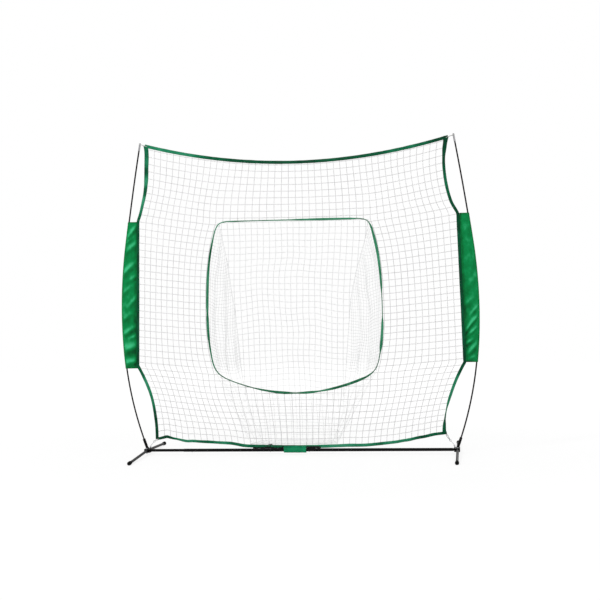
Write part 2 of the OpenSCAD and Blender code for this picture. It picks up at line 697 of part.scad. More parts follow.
// The net's panels as [first column, last column, first row, last row]. They meet on
// cords, so that each panel is nearly convex and the hole stays open.
hole_from = side_columns;
hole_to = side_columns + hole_columns;
hole_mid = side_columns + floor(hole_columns / 2);
row_mid = edge_rows + floor(hole_rows / 2);
net_panels = [
    [hole_from, hole_to, 0, edge_rows],
    [0, hole_from, 0, row_mid], [0, hole_from, row_mid, rows],
    [hole_to, columns, 0, row_mid], [hole_to, columns, row_mid, rows],
    [hole_from, hole_mid, edge_rows + hole_rows, rows],
    [hole_mid, hole_to, edge_rows + hole_rows, rows]];
// A mesh point on a border, carried on to the net's edge in the hole, or past its outer edge
edge_reach = 2 * edge_in + band_w;
hole_reach = 2 * hole_band_w;
hole_centre = [hole_shift, (hole_top_z + hole_low_z) / 2];
function on_rim(i, j) = i >= hole_from && i <= hole_to
    && j >= edge_rows && j <= edge_rows + hole_rows;
function is_cut(k) = on_rim(k[0], k[1]) || k[0] == 0 || k[0] == columns
    || k[1] == 0 || k[1] == rows;
function cut_point(i, j) = let (p = mesh_point(i, j))
    on_rim(i, j) ? p - unit(p - hole_centre) * hole_reach
    : p + [i == 0 ? -edge_reach : i == columns ? edge_reach : 0,
        j == 0 ? edge_reach : j == rows ? -edge_reach : 0];
module net_panel(q) {
    around = concat([for (i = [q[0]:q[1]]) [i, q[2]]], [for (j = [q[2] + 1:q[3]]) [q[1], j]],
        [for (i = [q[1] - 1:-1:q[0]]) [i, q[3]]], [for (j = [q[3] - 1:-1:q[2] + 1]) [q[0], j]]);
    turns = len(around);
    edge = moved([for (k = [0:turns - 1]) let (p = around[k],
        m = mesh_point(p[0], p[1]), c = cut_point(p[0], p[1]))
        each !is_cut(p) ? [m] : !is_cut(around[(k + turns - 1) % turns]) ? [m, c]
            : !is_cut(around[(k + 1) % turns]) ? [c, m] : [c]], -seam_gap);
    meshes = [for (j = [q[2]:q[3] - 1], i = [q[0]:q[1] - 1])
        mesh_hole(mesh_point(i, j), mesh_point(i + 1, j), mesh_point(i + 1, j + 1),
            mesh_point(i, j + 1), cord_d)];
    first = len(edge);
    upright(cord_d) difference() {
        intersection() {
            polygon(concat(edge, [for (m = meshes) each m]), concat([[for (i = [0:first - 1]) i]],
                [for (k = [0:len(meshes) - 1]) [for (e = [0:3]) first + 4 * k + e]]));
            outline_2d(edge_in - fold);
        }
        polygon(moved(hole_line, fold - hole_out));
        corner_holes_2d();
    }
}
module front_net() {
    color(white_cord) for (q = net_panels) net_panel(q);
}
// Holes in the binding's corners and over the bar, for loops, elastics and the tie
top_hole = [top_corner_x - 3, top_corner_z - 3];
low_hole = [low_corner_x - 2, low_corner_z];
tie_hole = [tie_x, low_z(tie_x) + 3];
module corner_holes_2d() {
    for (s = [-1, 1]) {
        translate([s * top_hole[0], top_hole[1]]) circle(d = loop_d + 1.6, $fn = 24);
        translate([s * low_hole[0], low_hole[1]]) circle(d = elastic_d + 1.6, $fn = 24);
    }
    translate(tie_hole) circle(d = elastic_d + 1.6, $fn = 24);
}
// A strip of binding folded round the net's edge
module folded_band(slot_t) {
    difference() {
        upright(band_t) children(0);
        upright(slot_t) children(1);
        upright(band_t + 2) corner_holes_2d();
    }
}
slot_t = cord_d + 2 * seam_clear;
module net_slot_2d() {
    outline_2d(edge_in - fold + seam_clear);
}
top_ends = concat([[-top_corner_x - edge_in, top_z(top_corner_x + edge_in)]], inner(top_line),
    [[top_corner_x + edge_in, top_z(top_corner_x + edge_in)]]);
low_ends = concat([[low_corner_x + edge_in, low_z(low_corner_x + edge_in)]], inner(low_line),
    [[-low_corner_x - edge_in, low_z(low_corner_x + edge_in)]]);
module top_edge_band() {
    color(green) folded_band(slot_t) {
        polygon(strip(top_ends, band_w));
        net_slot_2d();
    }
}
module bottom_edge_band() {
    color(green) folded_band(slot_t) {
        polygon(strip(low_ends, band_w));
        net_slot_2d();
    }
}
module edge_band(s) {
    color(dark_green) side(s) folded_band(slot_t) {
        difference() {
            polygon(strip(side_line, band_w));
            polygon(strip(top_ends, band_w + 2 * gap));
            polygon(strip(low_ends, band_w + 2 * gap));
            translate([0, top_corner_z]) square([2 * top_corner_x, 5 * band_w]);
            translate([0, low_corner_z - 5 * band_w]) square([2 * top_corner_x, 5 * band_w]);
        }
        net_slot_2d();
    }
}
module target_hole_band() {
    color(green) difference() {
        upright(band_t) difference() {
            polygon(moved(hole_line, hole_out));
            polygon(moved(hole_line, -hole_out));
        }
        upright(slot_t) difference() {
            polygon(moved(hole_line, hole_out + 5));
            polygon(moved(hole_line, fold - hole_out - seam_clear));
        }
    }
}

// Pocket
pocket_cols = 8;
pocket_rows = 10;
side_cols = 3;
// A net sheet in strips of two rows, so that its curve keeps thin hulls
module net_strips(pts, m, n, t) {
    for (k = [0:2:n - 1]) net_sheet(pts, m, n, t, k, 2);
}
module pocket_back() {
    pts = [for (j = [0:pocket_rows], i = [0:pocket_cols])
        back_p(i / pocket_cols, j / pocket_rows)];
    color(white_cord) net_strips(pts, pocket_cols, pocket_rows, cord_d);
}
module pocket_side(s) {
    pts = [for (j = [0:pocket_rows], i = [0:side_cols])
        side_p(s, (s > 0 ? side_cols - i : i) / side_cols, j / pocket_rows)];
    color(white_cord) net_strips(pts, side_cols, pocket_rows, cord_d);
}
module pocket_floor() {
    pts = [for (j = [0:side_cols], i = [0:pocket_cols])
        floor_p(i / pocket_cols, (side_cols - j) / side_cols)];
    color(white_cord) net_sheet(pts, pocket_cols, side_cols, cord_d, 0, side_cols);
}

// Fabric sleeve round a pole: rings of points up the pole, flattened towards the net's binding
sleeve_rings = 14;
sleeve_arc = 7;
function sleeve_ring(z, in) =
    let (px = pole_x(z), ex = side_x(z) + edge_in * 1.001 + gap + (in > 0 ? 3 : 0),
        r = pole_od / 2 + sleeve_ease + fabric_t - in,
        bx = mix(px, ex, 0.55), by = sleeve_puff - in, ey = max(0.3, 1.6 - in))
    concat([[ex, ey, z], [bx, by, z]],
        [for (k = [0:sleeve_arc - 1]) let (a = mix(105, -105, k / (sleeve_arc - 1)))
            [px + r * cos(a), r * sin(a), z]],
        [[bx, -by, z], [ex, -ey, z]]);
module pole_sleeve(s) {
    n = sleeve_arc + 4;
    heights = [for (k = [0:sleeve_rings]) mix(sleeve_low_z, sleeve_top_z, k / sleeve_rings)];
    outer = [for (z = heights) each sleeve_ring(z, 0)];
    lining = [for (z = heights) each sleeve_ring(z, fabric_t)];
    m = len(outer);
    walls = [for (k = [0:sleeve_rings - 1], i = [0:n - 1])
        let (a = k * n + i, b = k * n + (i + 1) % n, c = b + n, d = a + n)
        each [[a, d, c], [a, c, b], [m + a, m + c, m + d], [m + a, m + b, m + c]]];
    t = sleeve_rings * n;
    hems = [for (i = [0:n - 1]) let (j = (i + 1) % n)
        each [[i, j, m + j], [i, m + j, m + i],
            [t + i, m + t + i, m + t + j], [t + i, m + t + j, t + j]]];
    color(green) side(s) polyhedron(concat(outer, lining), concat(walls, hems));
}

// Cords, hooks and straps
module corner_loop(s) {
    color("#c9c9c4") side(s)
        cord_loop(neck_p, top_hole, neck_d / 2 + loop_d / 2 + 0.05, loop_d);
}
eye_r = 6.5;
eye_top = plate_top + 12;
eye_p = [pivot_x - plate_in + 4, eye_top];
hook_r = wire_d + 0.1;
ring_r = 6;
tie_v = unit(low_hole - eye_p);
tie_n = [tie_v[1], -tie_v[0]];
elastic_start = eye_p + tie_v * (hook_len + 2 * ring_r) + tie_n * hook_r;
module tie_eye(s) {
    color(steel) side(s) translate([eye_p[0], 0, 0]) union() {
        translate([0, 0, eye_top - eye_r]) rotate([0, 0, 90]) rotate([90, 0, 0])
            half_ring(eye_r, wire_d, 0);
        for (y = [-1, 1]) translate([0, y * eye_r, plate_top])
            cylinder(d = wire_d, h = eye_top - eye_r - plate_top, $fn = 24);
    }
}
module corner_hook(s) {
    color(steel) side(s) translate([eye_p[0], 0, eye_p[1]])
        rotate([0, -atan2(tie_v[1], tie_v[0]), 0]) rotate([90, 0, 0]) union() {
            half_ring(hook_r, wire_d, 90);
            translate([0, -hook_r, 0]) rotate([0, 90, 0])
                cylinder(d = wire_d, h = hook_len, $fn = 24);
            translate([0, hook_r, 0]) rotate([0, 90, 0]) cylinder(d = wire_d, h = 9, $fn = 24);
            translate([9, hook_r, 0]) sphere(d = wire_d, $fn = 24);
            translate([hook_len + ring_r, -hook_r, 0]) rotate_extrude($fn = 48)
                translate([ring_r, 0]) circle(d = wire_d, $fn = 24);
        }
}
module elastic(s) {
    color("#8d8d88") side(s)
        cord_loop(elastic_start, low_hole, band_t / 2 + elastic_d / 2 + 0.5, elastic_d);
}
// Strap round the bar, hanging a little below it, with two flaps up the binding
module strap_loop_2d(r) {
    for (z = [bar_height - strap_slack, bar_height]) translate([0, z]) circle(r = r);
    translate([-r, bar_height - strap_slack]) square([2 * r, strap_slack]);
}
module bar_strap() {
    r = bar_od / 2 + gap;
    flap = band_t / 2 + gap;
    top = low_mid_z + 6;
    color(green) translate([strap_from, 0, 0]) rotate([90, 0, 90])
        linear_extrude(strap_to - strap_from) difference() {
            union() {
                strap_loop_2d(r + fabric_t);
                translate([-flap - fabric_t, bar_height])
                    square([2 * (flap + fabric_t), top - bar_height]);
            }
            strap_loop_2d(r);
            translate([-flap, bar_height]) square([2 * flap, 60]);
        }
}
module hook_tape() {
    low = bar_height + bar_od / 2 + 0.5;
    top = bar_height + bar_od / 2 + tape_w;
    color("#151515") for (x = [[tape_from, strap_from - 1], [strap_to + 1, tape_to]])
        translate([x[0], -band_t / 2 - gap - fabric_t, low]) cube([x[1] - x[0], fabric_t, top - low]);
}
module bar_tie() {
    r = bar_od / 2 + elastic_d / 2 + gap;
    color("#1b1b1b") translate([tie_x, 0, 0])
        cord_loop([0, bar_height], [0, tie_hole[1]], r, elastic_d);
}

corner_bracket(-1);  // left_corner_bracket
corner_bracket(1);  // right_corner_bracket
corner_tube(-1);  // left_corner_tube
corner_tube(1);  // right_corner_tube
bar_tube(left_end_x, bar_joint_x, left_button_x);  // left_bar_tube
bar_tube(bar_joint_x, right_end_x, centre_button_x);  // right_bar_tube
bar_spigot();
snap_button(left_button_x);  // left_snap_button
snap_button(centre_button_x);  // centre_snap_button
button_spring(left_button_x);  // left_button_spring
button_spring(centre_button_x);  // centre_button_spring
leg_pivot_bolts();
leg_pivot_nuts();
leg_pivot_washers();
leg(-1, -1);  // front_left_leg
leg(1, -1);  // front_right_leg
leg(-1, 1);  // rear_left_leg
leg(1, 1);  // rear_right_leg
foot(-1, -1);  // front_left_foot
foot(1, -1);  // front_right_foot
foot(-1, 1);  // rear_left_foot
foot(1, 1);  // rear_right_foot
pole_socket(-1);  // left_pole_socket
pole_socket(1);  // right_pole_socket
socket_bush(-1);  // left_socket_bush
socket_bush(1);  // right_socket_bush
pole_lower(-1);  // left_pole_lower
pole_middle(-1);  // left_pole_middle
pole_upper(-1);  // left_pole_upper
pole_lower(1);  // right_pole_lower
pole_middle(1);  // right_pole_middle
pole_upper(1);  // right_pole_upper
pole_ferrules(-1);  // left_pole_ferrules
pole_ferrules(1);  // right_pole_ferrules
pole_tip(-1);  // left_pole_tip
pole_tip(1);  // right_pole_tip
front_net();
pocket_back();
pocket_side(-1);  // pocket_left_side
pocket_side(1);  // pocket_right_side
pocket_floor();
top_edge_band();
bottom_edge_band();
edge_band(-1);  // left_edge_band
edge_band(1);  // right_edge_band
target_hole_band();
pole_sleeve(-1);  // left_pole_sleeve
pole_sleeve(1);  // right_pole_sleeve
corner_loop(-1);  // left_corner_loop
corner_loop(1);  // right_corner_loop
elastic(-1);  // left_elastic
elastic(1);  // right_elastic
corner_hook(-1);  // left_corner_hook
corner_hook(1);  // right_corner_hook
tie_eye(-1);  // left_tie_eye
tie_eye(1);  // right_tie_eye
bar_strap();
hook_tape();
bar_tie();
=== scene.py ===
# Pitching target net: knotted netting, folded bindings, pole sleeves, cords and finishes
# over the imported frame. Metres, +Z up, X across the net, -Y the pitcher's side.
import math
import random

import bmesh
import bpy
import numpy as np
from mathutils import Matrix, Vector, noise


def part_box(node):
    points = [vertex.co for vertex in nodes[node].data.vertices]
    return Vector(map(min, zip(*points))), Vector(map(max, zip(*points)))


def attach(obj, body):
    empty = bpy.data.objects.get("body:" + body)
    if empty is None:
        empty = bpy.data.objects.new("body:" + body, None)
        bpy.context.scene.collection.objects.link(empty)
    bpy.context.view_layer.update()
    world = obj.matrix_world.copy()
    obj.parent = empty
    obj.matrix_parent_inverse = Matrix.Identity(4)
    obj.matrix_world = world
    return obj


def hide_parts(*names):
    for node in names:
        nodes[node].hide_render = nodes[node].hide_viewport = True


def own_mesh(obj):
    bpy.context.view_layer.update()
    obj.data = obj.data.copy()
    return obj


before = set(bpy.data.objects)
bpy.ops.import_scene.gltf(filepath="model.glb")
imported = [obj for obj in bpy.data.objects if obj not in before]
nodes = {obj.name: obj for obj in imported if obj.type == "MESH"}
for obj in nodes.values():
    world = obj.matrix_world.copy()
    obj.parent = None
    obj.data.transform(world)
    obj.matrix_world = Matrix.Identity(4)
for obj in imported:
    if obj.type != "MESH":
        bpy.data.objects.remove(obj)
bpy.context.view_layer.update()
STAND = "stand"

# ---------------------------------------------------------------- camera
EYE = (1.1716, -9.1821, 1.2549)
PAN, TILT, ROLL = 0.1251, -0.0214, -0.0195
FOCAL_LENGTH, SENSOR_WIDTH = 81.294, 36.0  # millimetres


def aim_camera():
    """Level view from the pitcher's side, a little to the right of the middle."""
    forward = Vector((-math.sin(PAN) * math.cos(TILT), math.cos(PAN) * math.cos(TILT),
                      math.sin(TILT)))
    right = forward.cross(Vector((0, 0, 1))).normalized()
    up = right.cross(forward)
    across = math.cos(ROLL) * right + math.sin(ROLL) * up
    above = -math.sin(ROLL) * right + math.cos(ROLL) * up
    lens = bpy.data.cameras.new("camera")
    lens.sensor_fit, lens.sensor_width, lens.lens = "HORIZONTAL", SENSOR_WIDTH, FOCAL_LENGTH
    lens.clip_start, lens.clip_end = 0.1, 200.0
    eye = bpy.data.objects.new("camera", lens)
    turn = Matrix((across, above, -forward)).transposed().to_4x4()
    eye.matrix_world = Matrix.Translation(EYE) @ turn
    bpy.context.scene.collection.objects.link(eye)
    bpy.context.scene.camera = eye


aim_camera()


# ---------------------------------------------------------------- shares and keys
def mix(a, b, t):
    return a + (b - a) * t


def arch(t):
    """A bow that rises from 0 to 1 at the middle and falls back to 0."""
    return 4 * t * (1 - t)


def ease(t):
    """A soft step from 0 to 1, held past both ends."""
    t = min(1.0, max(0.0, t))
    return t * t * (3 - 2 * t)


def even(n):
    """Shares from 0 to 1 in n even steps."""
    return [k / n for k in range(n + 1)]


def along_keys(keys, t, soft=ease):
    """Value at t from a list of (t, value), held past its ends."""
    if t <= keys[0][0]:
        return keys[0][1]
    for (a, va), (b, vb) in zip(keys, keys[1:]):
        if t <= b:
            return mix(va, vb, soft((t - a) / (b - a)))
    return keys[-1][1]


def keyed(keys):
    """The keys as a function of t."""
    return lambda t: along_keys(keys, t)


def circle(sides):
    """Angles of even points round a circle."""
    return [2 * math.pi * i / sides for i in range(sides)]


def round_lengths(radius, sides):
    """Length run round a circle up to each of its points, and back to the first."""
    return [radius * a for a in circle(sides)] + [2 * math.pi * radius]


def ripple(depth, *at):
    """Smooth unevenness of a given depth, from a place in a field of noise."""
    return depth * noise.noise(Vector(at))


# ---------------------------------------------------------------- the net's layout
# Base, poles, and the net's outline: its corners, the sag of its edges and the sleeves' seams
PIVOT_X, PIVOT_Y, BAR_Z, BAR_R = 1.070, 0.026, 0.030, 0.01075
POLE_R = 0.00525
POLE_ARCS = [(-1.2475, 0.8957, 2.470), (-2.2755, 0.9589, 3.500), (-17.4258, -1.1763, 18.800)]
POLE_JOINTS = [0.7441, 1.4474]
TOP_X, TOP_Z, TOP_SAG = 1.030, 2.136, 0.138
LOW_X, LOW_Z, LOW_MID = 0.991, 0.125, 0.05175
SLEEVE_TOP, SLEEVE_LOW = 1.622, 0.620
SEAM_TOP, SEAM_LOW = 1.099, 1.127
UPPER_BOW, LOWER_BOW = 0.040, 0.035  # how far the side edges are drawn in past the sleeves


def pole_x(z):
    """Middle of the right pole at a height: three arcs, one for each of its sections."""
    cx, cz, r = POLE_ARCS[0 if z < POLE_JOINTS[0] else 1 if z < POLE_JOINTS[1] else 2]
    return cx + math.sqrt(r * r - (z - cz) ** 2)


def top_z(x):
    """The net's top edge."""
    return TOP_Z - TOP_SAG * (1 - (x / TOP_X) ** 2)


def low_z(x):
    """The net's bottom edge."""
    return LOW_MID + (LOW_Z - LOW_MID) * (x / LOW_X) ** 2


def side_x(z):
    """The net's side edge: straight along the sleeve, drawn in above and below it."""
    if z > SLEEVE_TOP:
        t = (TOP_Z - z) / (TOP_Z - SLEEVE_TOP)
        return mix(TOP_X, SEAM_TOP, t) - UPPER_BOW * arch(t)
    if z > SLEEVE_LOW:
        return mix(SEAM_TOP, SEAM_LOW, (SLEEVE_TOP - z) / (SLEEVE_TOP - SLEEVE_LOW))
    t = (SLEEVE_LOW - z) / (SLEEVE_LOW - LOW_Z)
    return mix(SEAM_LOW, LOW_X, t) - LOWER_BOW * arch(t)


# The net hangs a little to the left between the poles: shift of its side edges by height
EDGE_SHIFT = {-1: [(0.125, 0.010), (0.25, 0.008), (0.45, 0.000), (0.62, 0.000), (1.622, 0.004),
                   (1.76, 0.013), (1.97, 0.019), (2.136, 0.007)],
              1: [(0.125, -0.009), (0.28, -0.008), (0.45, -0.002), (0.62, 0.000), (1.622, -0.002),
                  (1.71, -0.013), (1.94, -0.009), (2.136, -0.003)]}


def edge_x(side, z):
    """The side edge as it hangs."""
    return side_x(z) + along_keys(EDGE_SHIFT[side], z)


# The bottom corners: the left one is drawn down by its short cord, the right one rides up.
BOTTOM_PULL = [(-0.991, -0.016), (-0.965, -0.003), (-0.932, 0.008), (-0.88, 0.002),
               (-0.79, -0.005), (-0.74, 0.001), (-0.60, 0.006), (-0.49, 0.008), (-0.37, -0.003),
               (-0.20, 0.000), (0.31, 0.001), (0.45, -0.005), (0.64, -0.002), (0.72, 0.003),
               (0.83, 0.012), (0.92, 0.019), (0.991, 0.018)]
PULL_REACH = 0.22


def corner_pull(x, z):
    """How far the bottom hem and the net near it are drawn up or down."""
    fade = ease(1 - (z - low_z(x)) / PULL_REACH)
    return along_keys(BOTTOM_PULL, x) * fade


# Target hole: middle line of its binding, clockwise from the top left corner
HOLE_X, HOLE_TOP, HOLE_LOW, HOLE_STEPS = -0.025, 1.605, 0.555, 20
HOLE_TOP_HALF, HOLE_LOW_HALF, HOLE_BULGE, HOLE_SAG = 0.520, 0.553, 0.065, 0.136
HOLE_DROP = 0.005
HOLE_CORNER = HOLE_TOP - HOLE_DROP
HOLE_STEP = 0.012
RIM_GAP = 0.009  # from the middle of the binding to where the net's columns keep off it


def hole_half(t):
    """Half width of the hole at a share of the way down its bulging sides."""
    return mix(HOLE_TOP_HALF, HOLE_LOW_HALF, t) + HOLE_BULGE * (1 - abs(2 * t - 1) ** 2.6)


def hole_outline():
    """Four sides of the hole: a flat top, bulging sides and a sagging lower edge."""
    shares = even(HOLE_STEPS)
    top = [(HOLE_X + mix(-HOLE_TOP_HALF, HOLE_TOP_HALF, t),
            HOLE_TOP - HOLE_DROP * abs(2 * t - 1) ** 8) for t in shares]
    right = [(HOLE_X + hole_half(t), mix(HOLE_CORNER, HOLE_LOW, t)) for t in shares[1:]]
    low = [(HOLE_X + mix(-HOLE_LOW_HALF, HOLE_LOW_HALF, t),
            HOLE_LOW - HOLE_SAG * (1 - (2 * t - 1) ** 2)) for t in shares[-2::-1]]
    left = [(HOLE_X - hole_half(t), mix(HOLE_CORNER, HOLE_LOW, t)) for t in shares[-2:0:-1]]
    line = np.array(top + right + low + left)
    upper = line[:, 1] > (HOLE_TOP + HOLE_LOW) / 2
    for kept in (False, upper):  # rounds the corners, the lower ones twice
        soft = (np.roll(line, 1, 0) + 2 * line + np.roll(line, -1, 0)) / 4
        line = np.where(np.reshape(kept, (-1, 1)), line, soft)
    return line


def resample(line, step, closed):
    """Points at even steps on a smooth curve through a line, so that a tape shows no flats."""
    n = len(line)
    pts = np.vstack([line, line[:1]]) if closed else line
    run = np.concatenate([[0], np.cumsum(np.linalg.norm(np.diff(pts, axis=0), axis=1))])
    count = max(2, int(round(run[-1] / step)))
    out = []
    for at in np.linspace(0, run[-1], count + 1)[:count if closed else count + 1]:
        k = min(int(np.searchsorted(run, at, side="right") - 1), len(pts) - 2)
        t = (at - run[k]) / (run[k + 1] - run[k])
        p0, p1, p2, p3 = (line[i % n if closed else min(max(i, 0), n - 1)]
                          for i in range(k - 1, k + 3))
        out.append(0.5 * ((2 * p1) + (p2 - p0) * t + (2 * p0 - 5 * p1 + 4 * p2 - p3) * t * t
                          + (3 * p1 - p0 - 3 * p2 + p3) * t ** 3))
    return np.array(out)


hole_line = hole_outline()
hole_fine = resample(hole_line, HOLE_STEP, True)


def in_hole(x, z):
    """Whether a point lies inside the outline, by the sides that a level line to it crosses."""
    a, b = hole_fine, np.roll(hole_fine, -1, 0)
    over = (a[:, 1] > z) != (b[:, 1] > z)
    with np.errstate(divide="ignore", invalid="ignore"):
        cut = (b[:, 0] - a[:, 0]) * (z - a[:, 1]) / (b[:, 1] - a[:, 1]) + a[:, 0]
    return bool(np.count_nonzero(over & (x < cut)) % 2)


def rim_x(side, z):
    """X of the hole's side at a height, held past its ends."""
    t = min(1.0, max(0.0, (HOLE_CORNER - z) / (HOLE_CORNER - HOLE_LOW)))
    return HOLE_X + side * (hole_half(t) + RIM_GAP)


# ---------------------------------------------------------------- mesh helpers
def add_object(name, mesh):
    obj = bpy.data.objects.new(name, mesh)
    bpy.context.scene.collection.objects.link(obj)
    return obj


def mesh_from(name, verts, faces, material, uvs=None):
    """A smooth piece from points and faces, with UVs in metres where they are given."""
    mesh = bpy.data.meshes.new(name)
    mesh.from_pydata([tuple(v) for v in verts], [], faces)
    if uvs is not None:
        layer = mesh.uv_layers.new(name="UVMap")
        layer.data.foreach_set("uv", np.array([uv for f in uvs for uv in f]).ravel())
    mesh.update()
    mesh.polygons.foreach_set("use_smooth", [True] * len(mesh.polygons))
    mesh.materials.append(material)
    return add_object(name, mesh)


def mark_points(mesh, name, kind, values):
    """Writes an attribute of a mesh's points."""
    field = "vector" if kind == "FLOAT_VECTOR" else "value"
    mesh.attributes.new(name, kind, "POINT").data.foreach_set(field, values)


def outward(obj):
    """Turns all faces of a piece outwards."""
    work = bmesh.new()
    work.from_mesh(obj.data)
    bmesh.ops.recalc_face_normals(work, faces=work.faces)
    work.to_mesh(obj.data)
    work.free()


def settle(obj):
    """Turns a piece with live modifiers into its plain mesh."""
    bpy.context.view_layer.update()
    seen = obj.evaluated_get(bpy.context.evaluated_depsgraph_get())
    mesh = bpy.data.meshes.new_from_object(seen)
    obj.modifiers.clear()
    obj.data = mesh
    return obj


def thicken(obj, thickness, offset):
    """Gives a sheet the thickness of its cloth."""
    wall = obj.modifiers.new("cloth_thickness", "SOLIDIFY")
    wall.thickness, wall.offset = thickness, offset
    outward(settle(obj))


def run_lengths(points, closed=False):
    """Length run up to each point, and on to the first one again where the line is closed."""
    run = [0.0]
    for a, b in zip(points, points[1:] + points[:1] if closed else points[1:]):
        run.append(run[-1] + (Vector(b) - Vector(a)).length)
    return run


def ring_faces(rings, along, around, closed=False, wraps=True):
    """Faces and UVs between rings of the same count of points."""
    count, n = len(rings), len(rings[0])
    faces, uvs = [], []
    for k in range(count if closed else count - 1):
        b = (k + 1) % count
        for i in range(n if wraps else n - 1):
            j = (i + 1) % n
            faces.append((k * n + i, k * n + j, b * n + j, b * n + i))
            uvs.append([(along[k], around[i]), (along[k], around[i + 1]),
                        (along[k + 1], around[i + 1]), (along[k + 1], around[i])])
    return faces, uvs


def skin(name, rings, material, along, around, closed=False):
    """A skin over rings, capped at its ends unless it runs back into itself."""
    faces, uvs = ring_faces(rings, along, around, closed)
    if not closed:
        n, total = len(rings[0]), sum(map(len, rings))
        faces += [tuple(range(n - 1, -1, -1)), tuple(range(total - n, total))]
        uvs += [[(along[0], around[i]) for i in range(n - 1, -1, -1)],
                [(along[-1], around[i]) for i in range(n)]]
    obj = mesh_from(name, [v for ring in rings for v in ring], faces, material, uvs)
    outward(obj)
    return obj


def neighbours(pts, k, closed=False):
    """The points before and after point k of a line."""
    last = len(pts) - 1
    return (pts[k - 1] if closed or k else pts[k],
            pts[(k + 1) % len(pts)] if closed or k < last else pts[k])


def cord_piece(name, points, radius, material, sides=8, closed=False):
    """A round cord along points, with frames carried along it."""
    pts = [Vector(p) for p in points]
    rings, normal = [], None
    for k, p in enumerate(pts):
        a, b = neighbours(pts, k, closed)
        tangent = (b - a).normalized()
        if normal is None:
            normal = tangent.orthogonal().normalized()
        normal = (normal - tangent * normal.dot(tangent)).normalized()
        other = tangent.cross(normal)
        rings.append([p + radius * (math.cos(a) * normal + math.sin(a) * other)
                      for a in circle(sides)])
    return skin(name, rings, material, run_lengths(pts, closed), round_lengths(radius, sides),
                closed)


def join(name, parts):
    """Joins pieces of one finish into one."""
    work = bmesh.new()
    for part in parts:
        work.from_mesh(part.data)
    mesh = bpy.data.meshes.new(name)
    work.to_mesh(mesh)
    work.free()
    mesh.materials.append(parts[0].data.materials[0])
    for part in parts:
        bpy.data.objects.remove(part)
    mesh.polygons.foreach_set("use_smooth", [True] * len(mesh.polygons))
    return add_object(name, mesh)


def dress(obj, node, body=STAND):
    """Says what a piece rides on and which node it stands for, if any, and hides that node."""
    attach(obj, body)
    if node:
        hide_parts(node)


# ---------------------------------------------------------------- finishes
def add_node(tree, kind, inputs=None, **settings):
    """A node with its settings. An input that is given a socket is linked, any other is set."""
    node = tree.nodes.new(kind)
    for key, value in settings.items():
        setattr(node, key, value)
    for key, value in (inputs or {}).items():
        if isinstance(value, bpy.types.NodeSocket):
            tree.links.new(value, node.inputs[key])
        else:
            node.inputs[key].default_value = value
    return node


def math_node(tree, operation, *values):
    node = add_node(tree, "ShaderNodeMath", dict(enumerate(values)), operation=operation)
    return node.outputs[0]


RIB_SCALE = 0.31416  # wave texture scale whose ribs are a metre apart


class Finish:
    """A material in the making: patterns in metres on a piece, and what they do to its shader."""

    def __init__(self, name, **sockets):
        self.material = bpy.data.materials.new(name)
        self.material.use_nodes = True
        self.tree = self.material.node_tree
        self.tree.nodes.clear()
        self.shader = self.node("ShaderNodeBsdfPrincipled",
                                {key.replace("_", " "): value for key, value in sockets.items()})
        self.out = self.node("ShaderNodeOutputMaterial", {"Surface": self.shader.outputs[0]})

    def node(self, kind, inputs=None, **settings):
        return add_node(self.tree, kind, inputs, **settings)

    def place(self, coords="Object", scale=(1, 1, 1), turn=(0, 0, 0)):
        source = self.node("ShaderNodeTexCoord").outputs[coords]
        return self.node("ShaderNodeMapping",
                         {"Vector": source, "Scale": scale, "Rotation": turn}).outputs[0]

    def noise(self, where, scale, detail=3.0, rough=0.5):
        return self.node("ShaderNodeTexNoise", {"Vector": where, "Scale": scale, "Detail": detail,
                                                "Roughness": rough}).outputs["Fac"]

    def ribs(self, where, period, direction, distortion=0.0):
        """Even ribs across X or Y, a period apart."""
        return self.node("ShaderNodeTexWave",
                         {"Vector": where, "Scale": RIB_SCALE / period, "Detail": 1.0,
                          "Distortion": distortion}, bands_direction=direction).outputs["Fac"]

    def attribute(self, name):
        return self.node("ShaderNodeAttribute", attribute_name=name).outputs["Fac"]

    def blend(self, a, b, share_a=0.5, share_b=0.5):
        """Two patterns added in shares."""
        part = math_node(self.tree, "MULTIPLY", a, share_a)
        return math_node(self.tree, "MULTIPLY_ADD", b, share_b, part)

    def drive(self, socket, value):
        self.tree.links.new(value, self.shader.inputs[socket])

    def colour(self, value, stops):
        """Colours by value, from stops of a place from 0 to 1 and a colour."""
        ramp = self.node("ShaderNodeValToRGB", {0: value})
        while len(ramp.color_ramp.elements) < len(stops):
            ramp.color_ramp.elements.new(0.5)
        for stop, (at, colour) in zip(ramp.color_ramp.elements, stops):
            stop.position, stop.color = at, (*colour, 1)
        self.drive("Base Color", ramp.outputs[0])

    def roughness(self, value, low, high):
        self.drive("Roughness", self.node("ShaderNodeMapRange", {"Value": value, "To Min": low,
                                                                 "To Max": high}).outputs[0])

    def bump(self, height, depth, strength):
        """Relief of a pattern, which ends the making of the material."""
        self.drive("Normal", self.node("ShaderNodeBump", {"Height": height, "Distance": depth,
                                                          "Strength": strength}).outputs[0])
        return self.material


def powder_coat(name, dark, light):
    """Black powder coat: orange peel, dust and rubbed patches."""
    coat = Finish(name, Specular_IOR_Level=0.07)
    where = coat.place()
    coat.colour(coat.noise(where, 9.0, 5.0, 0.65), [(0.35, dark), (0.7, light)])
    coat.roughness(coat.noise(where, 60.0, 4.0), 0.38, 0.52)
    return coat.bump(coat.noise(where, 650.0, 2.0), 0.0003, 0.35)


def rolled_metal(name, dark, light, grain, rough):
    """Zinc plate or drawn aluminium with fine draw lines."""
    metal = Finish(name, Metallic=1.0)
    lines = metal.noise(metal.place(scale=grain), 420.0, 3.0)
    both = metal.blend(lines, metal.noise(metal.place(), 120.0, 4.0, 0.7))
    metal.colour(both, [(0.3, dark), (0.7, light)])
    metal.roughness(both, *rough)
    return metal.bump(lines, 0.0001, 0.3)


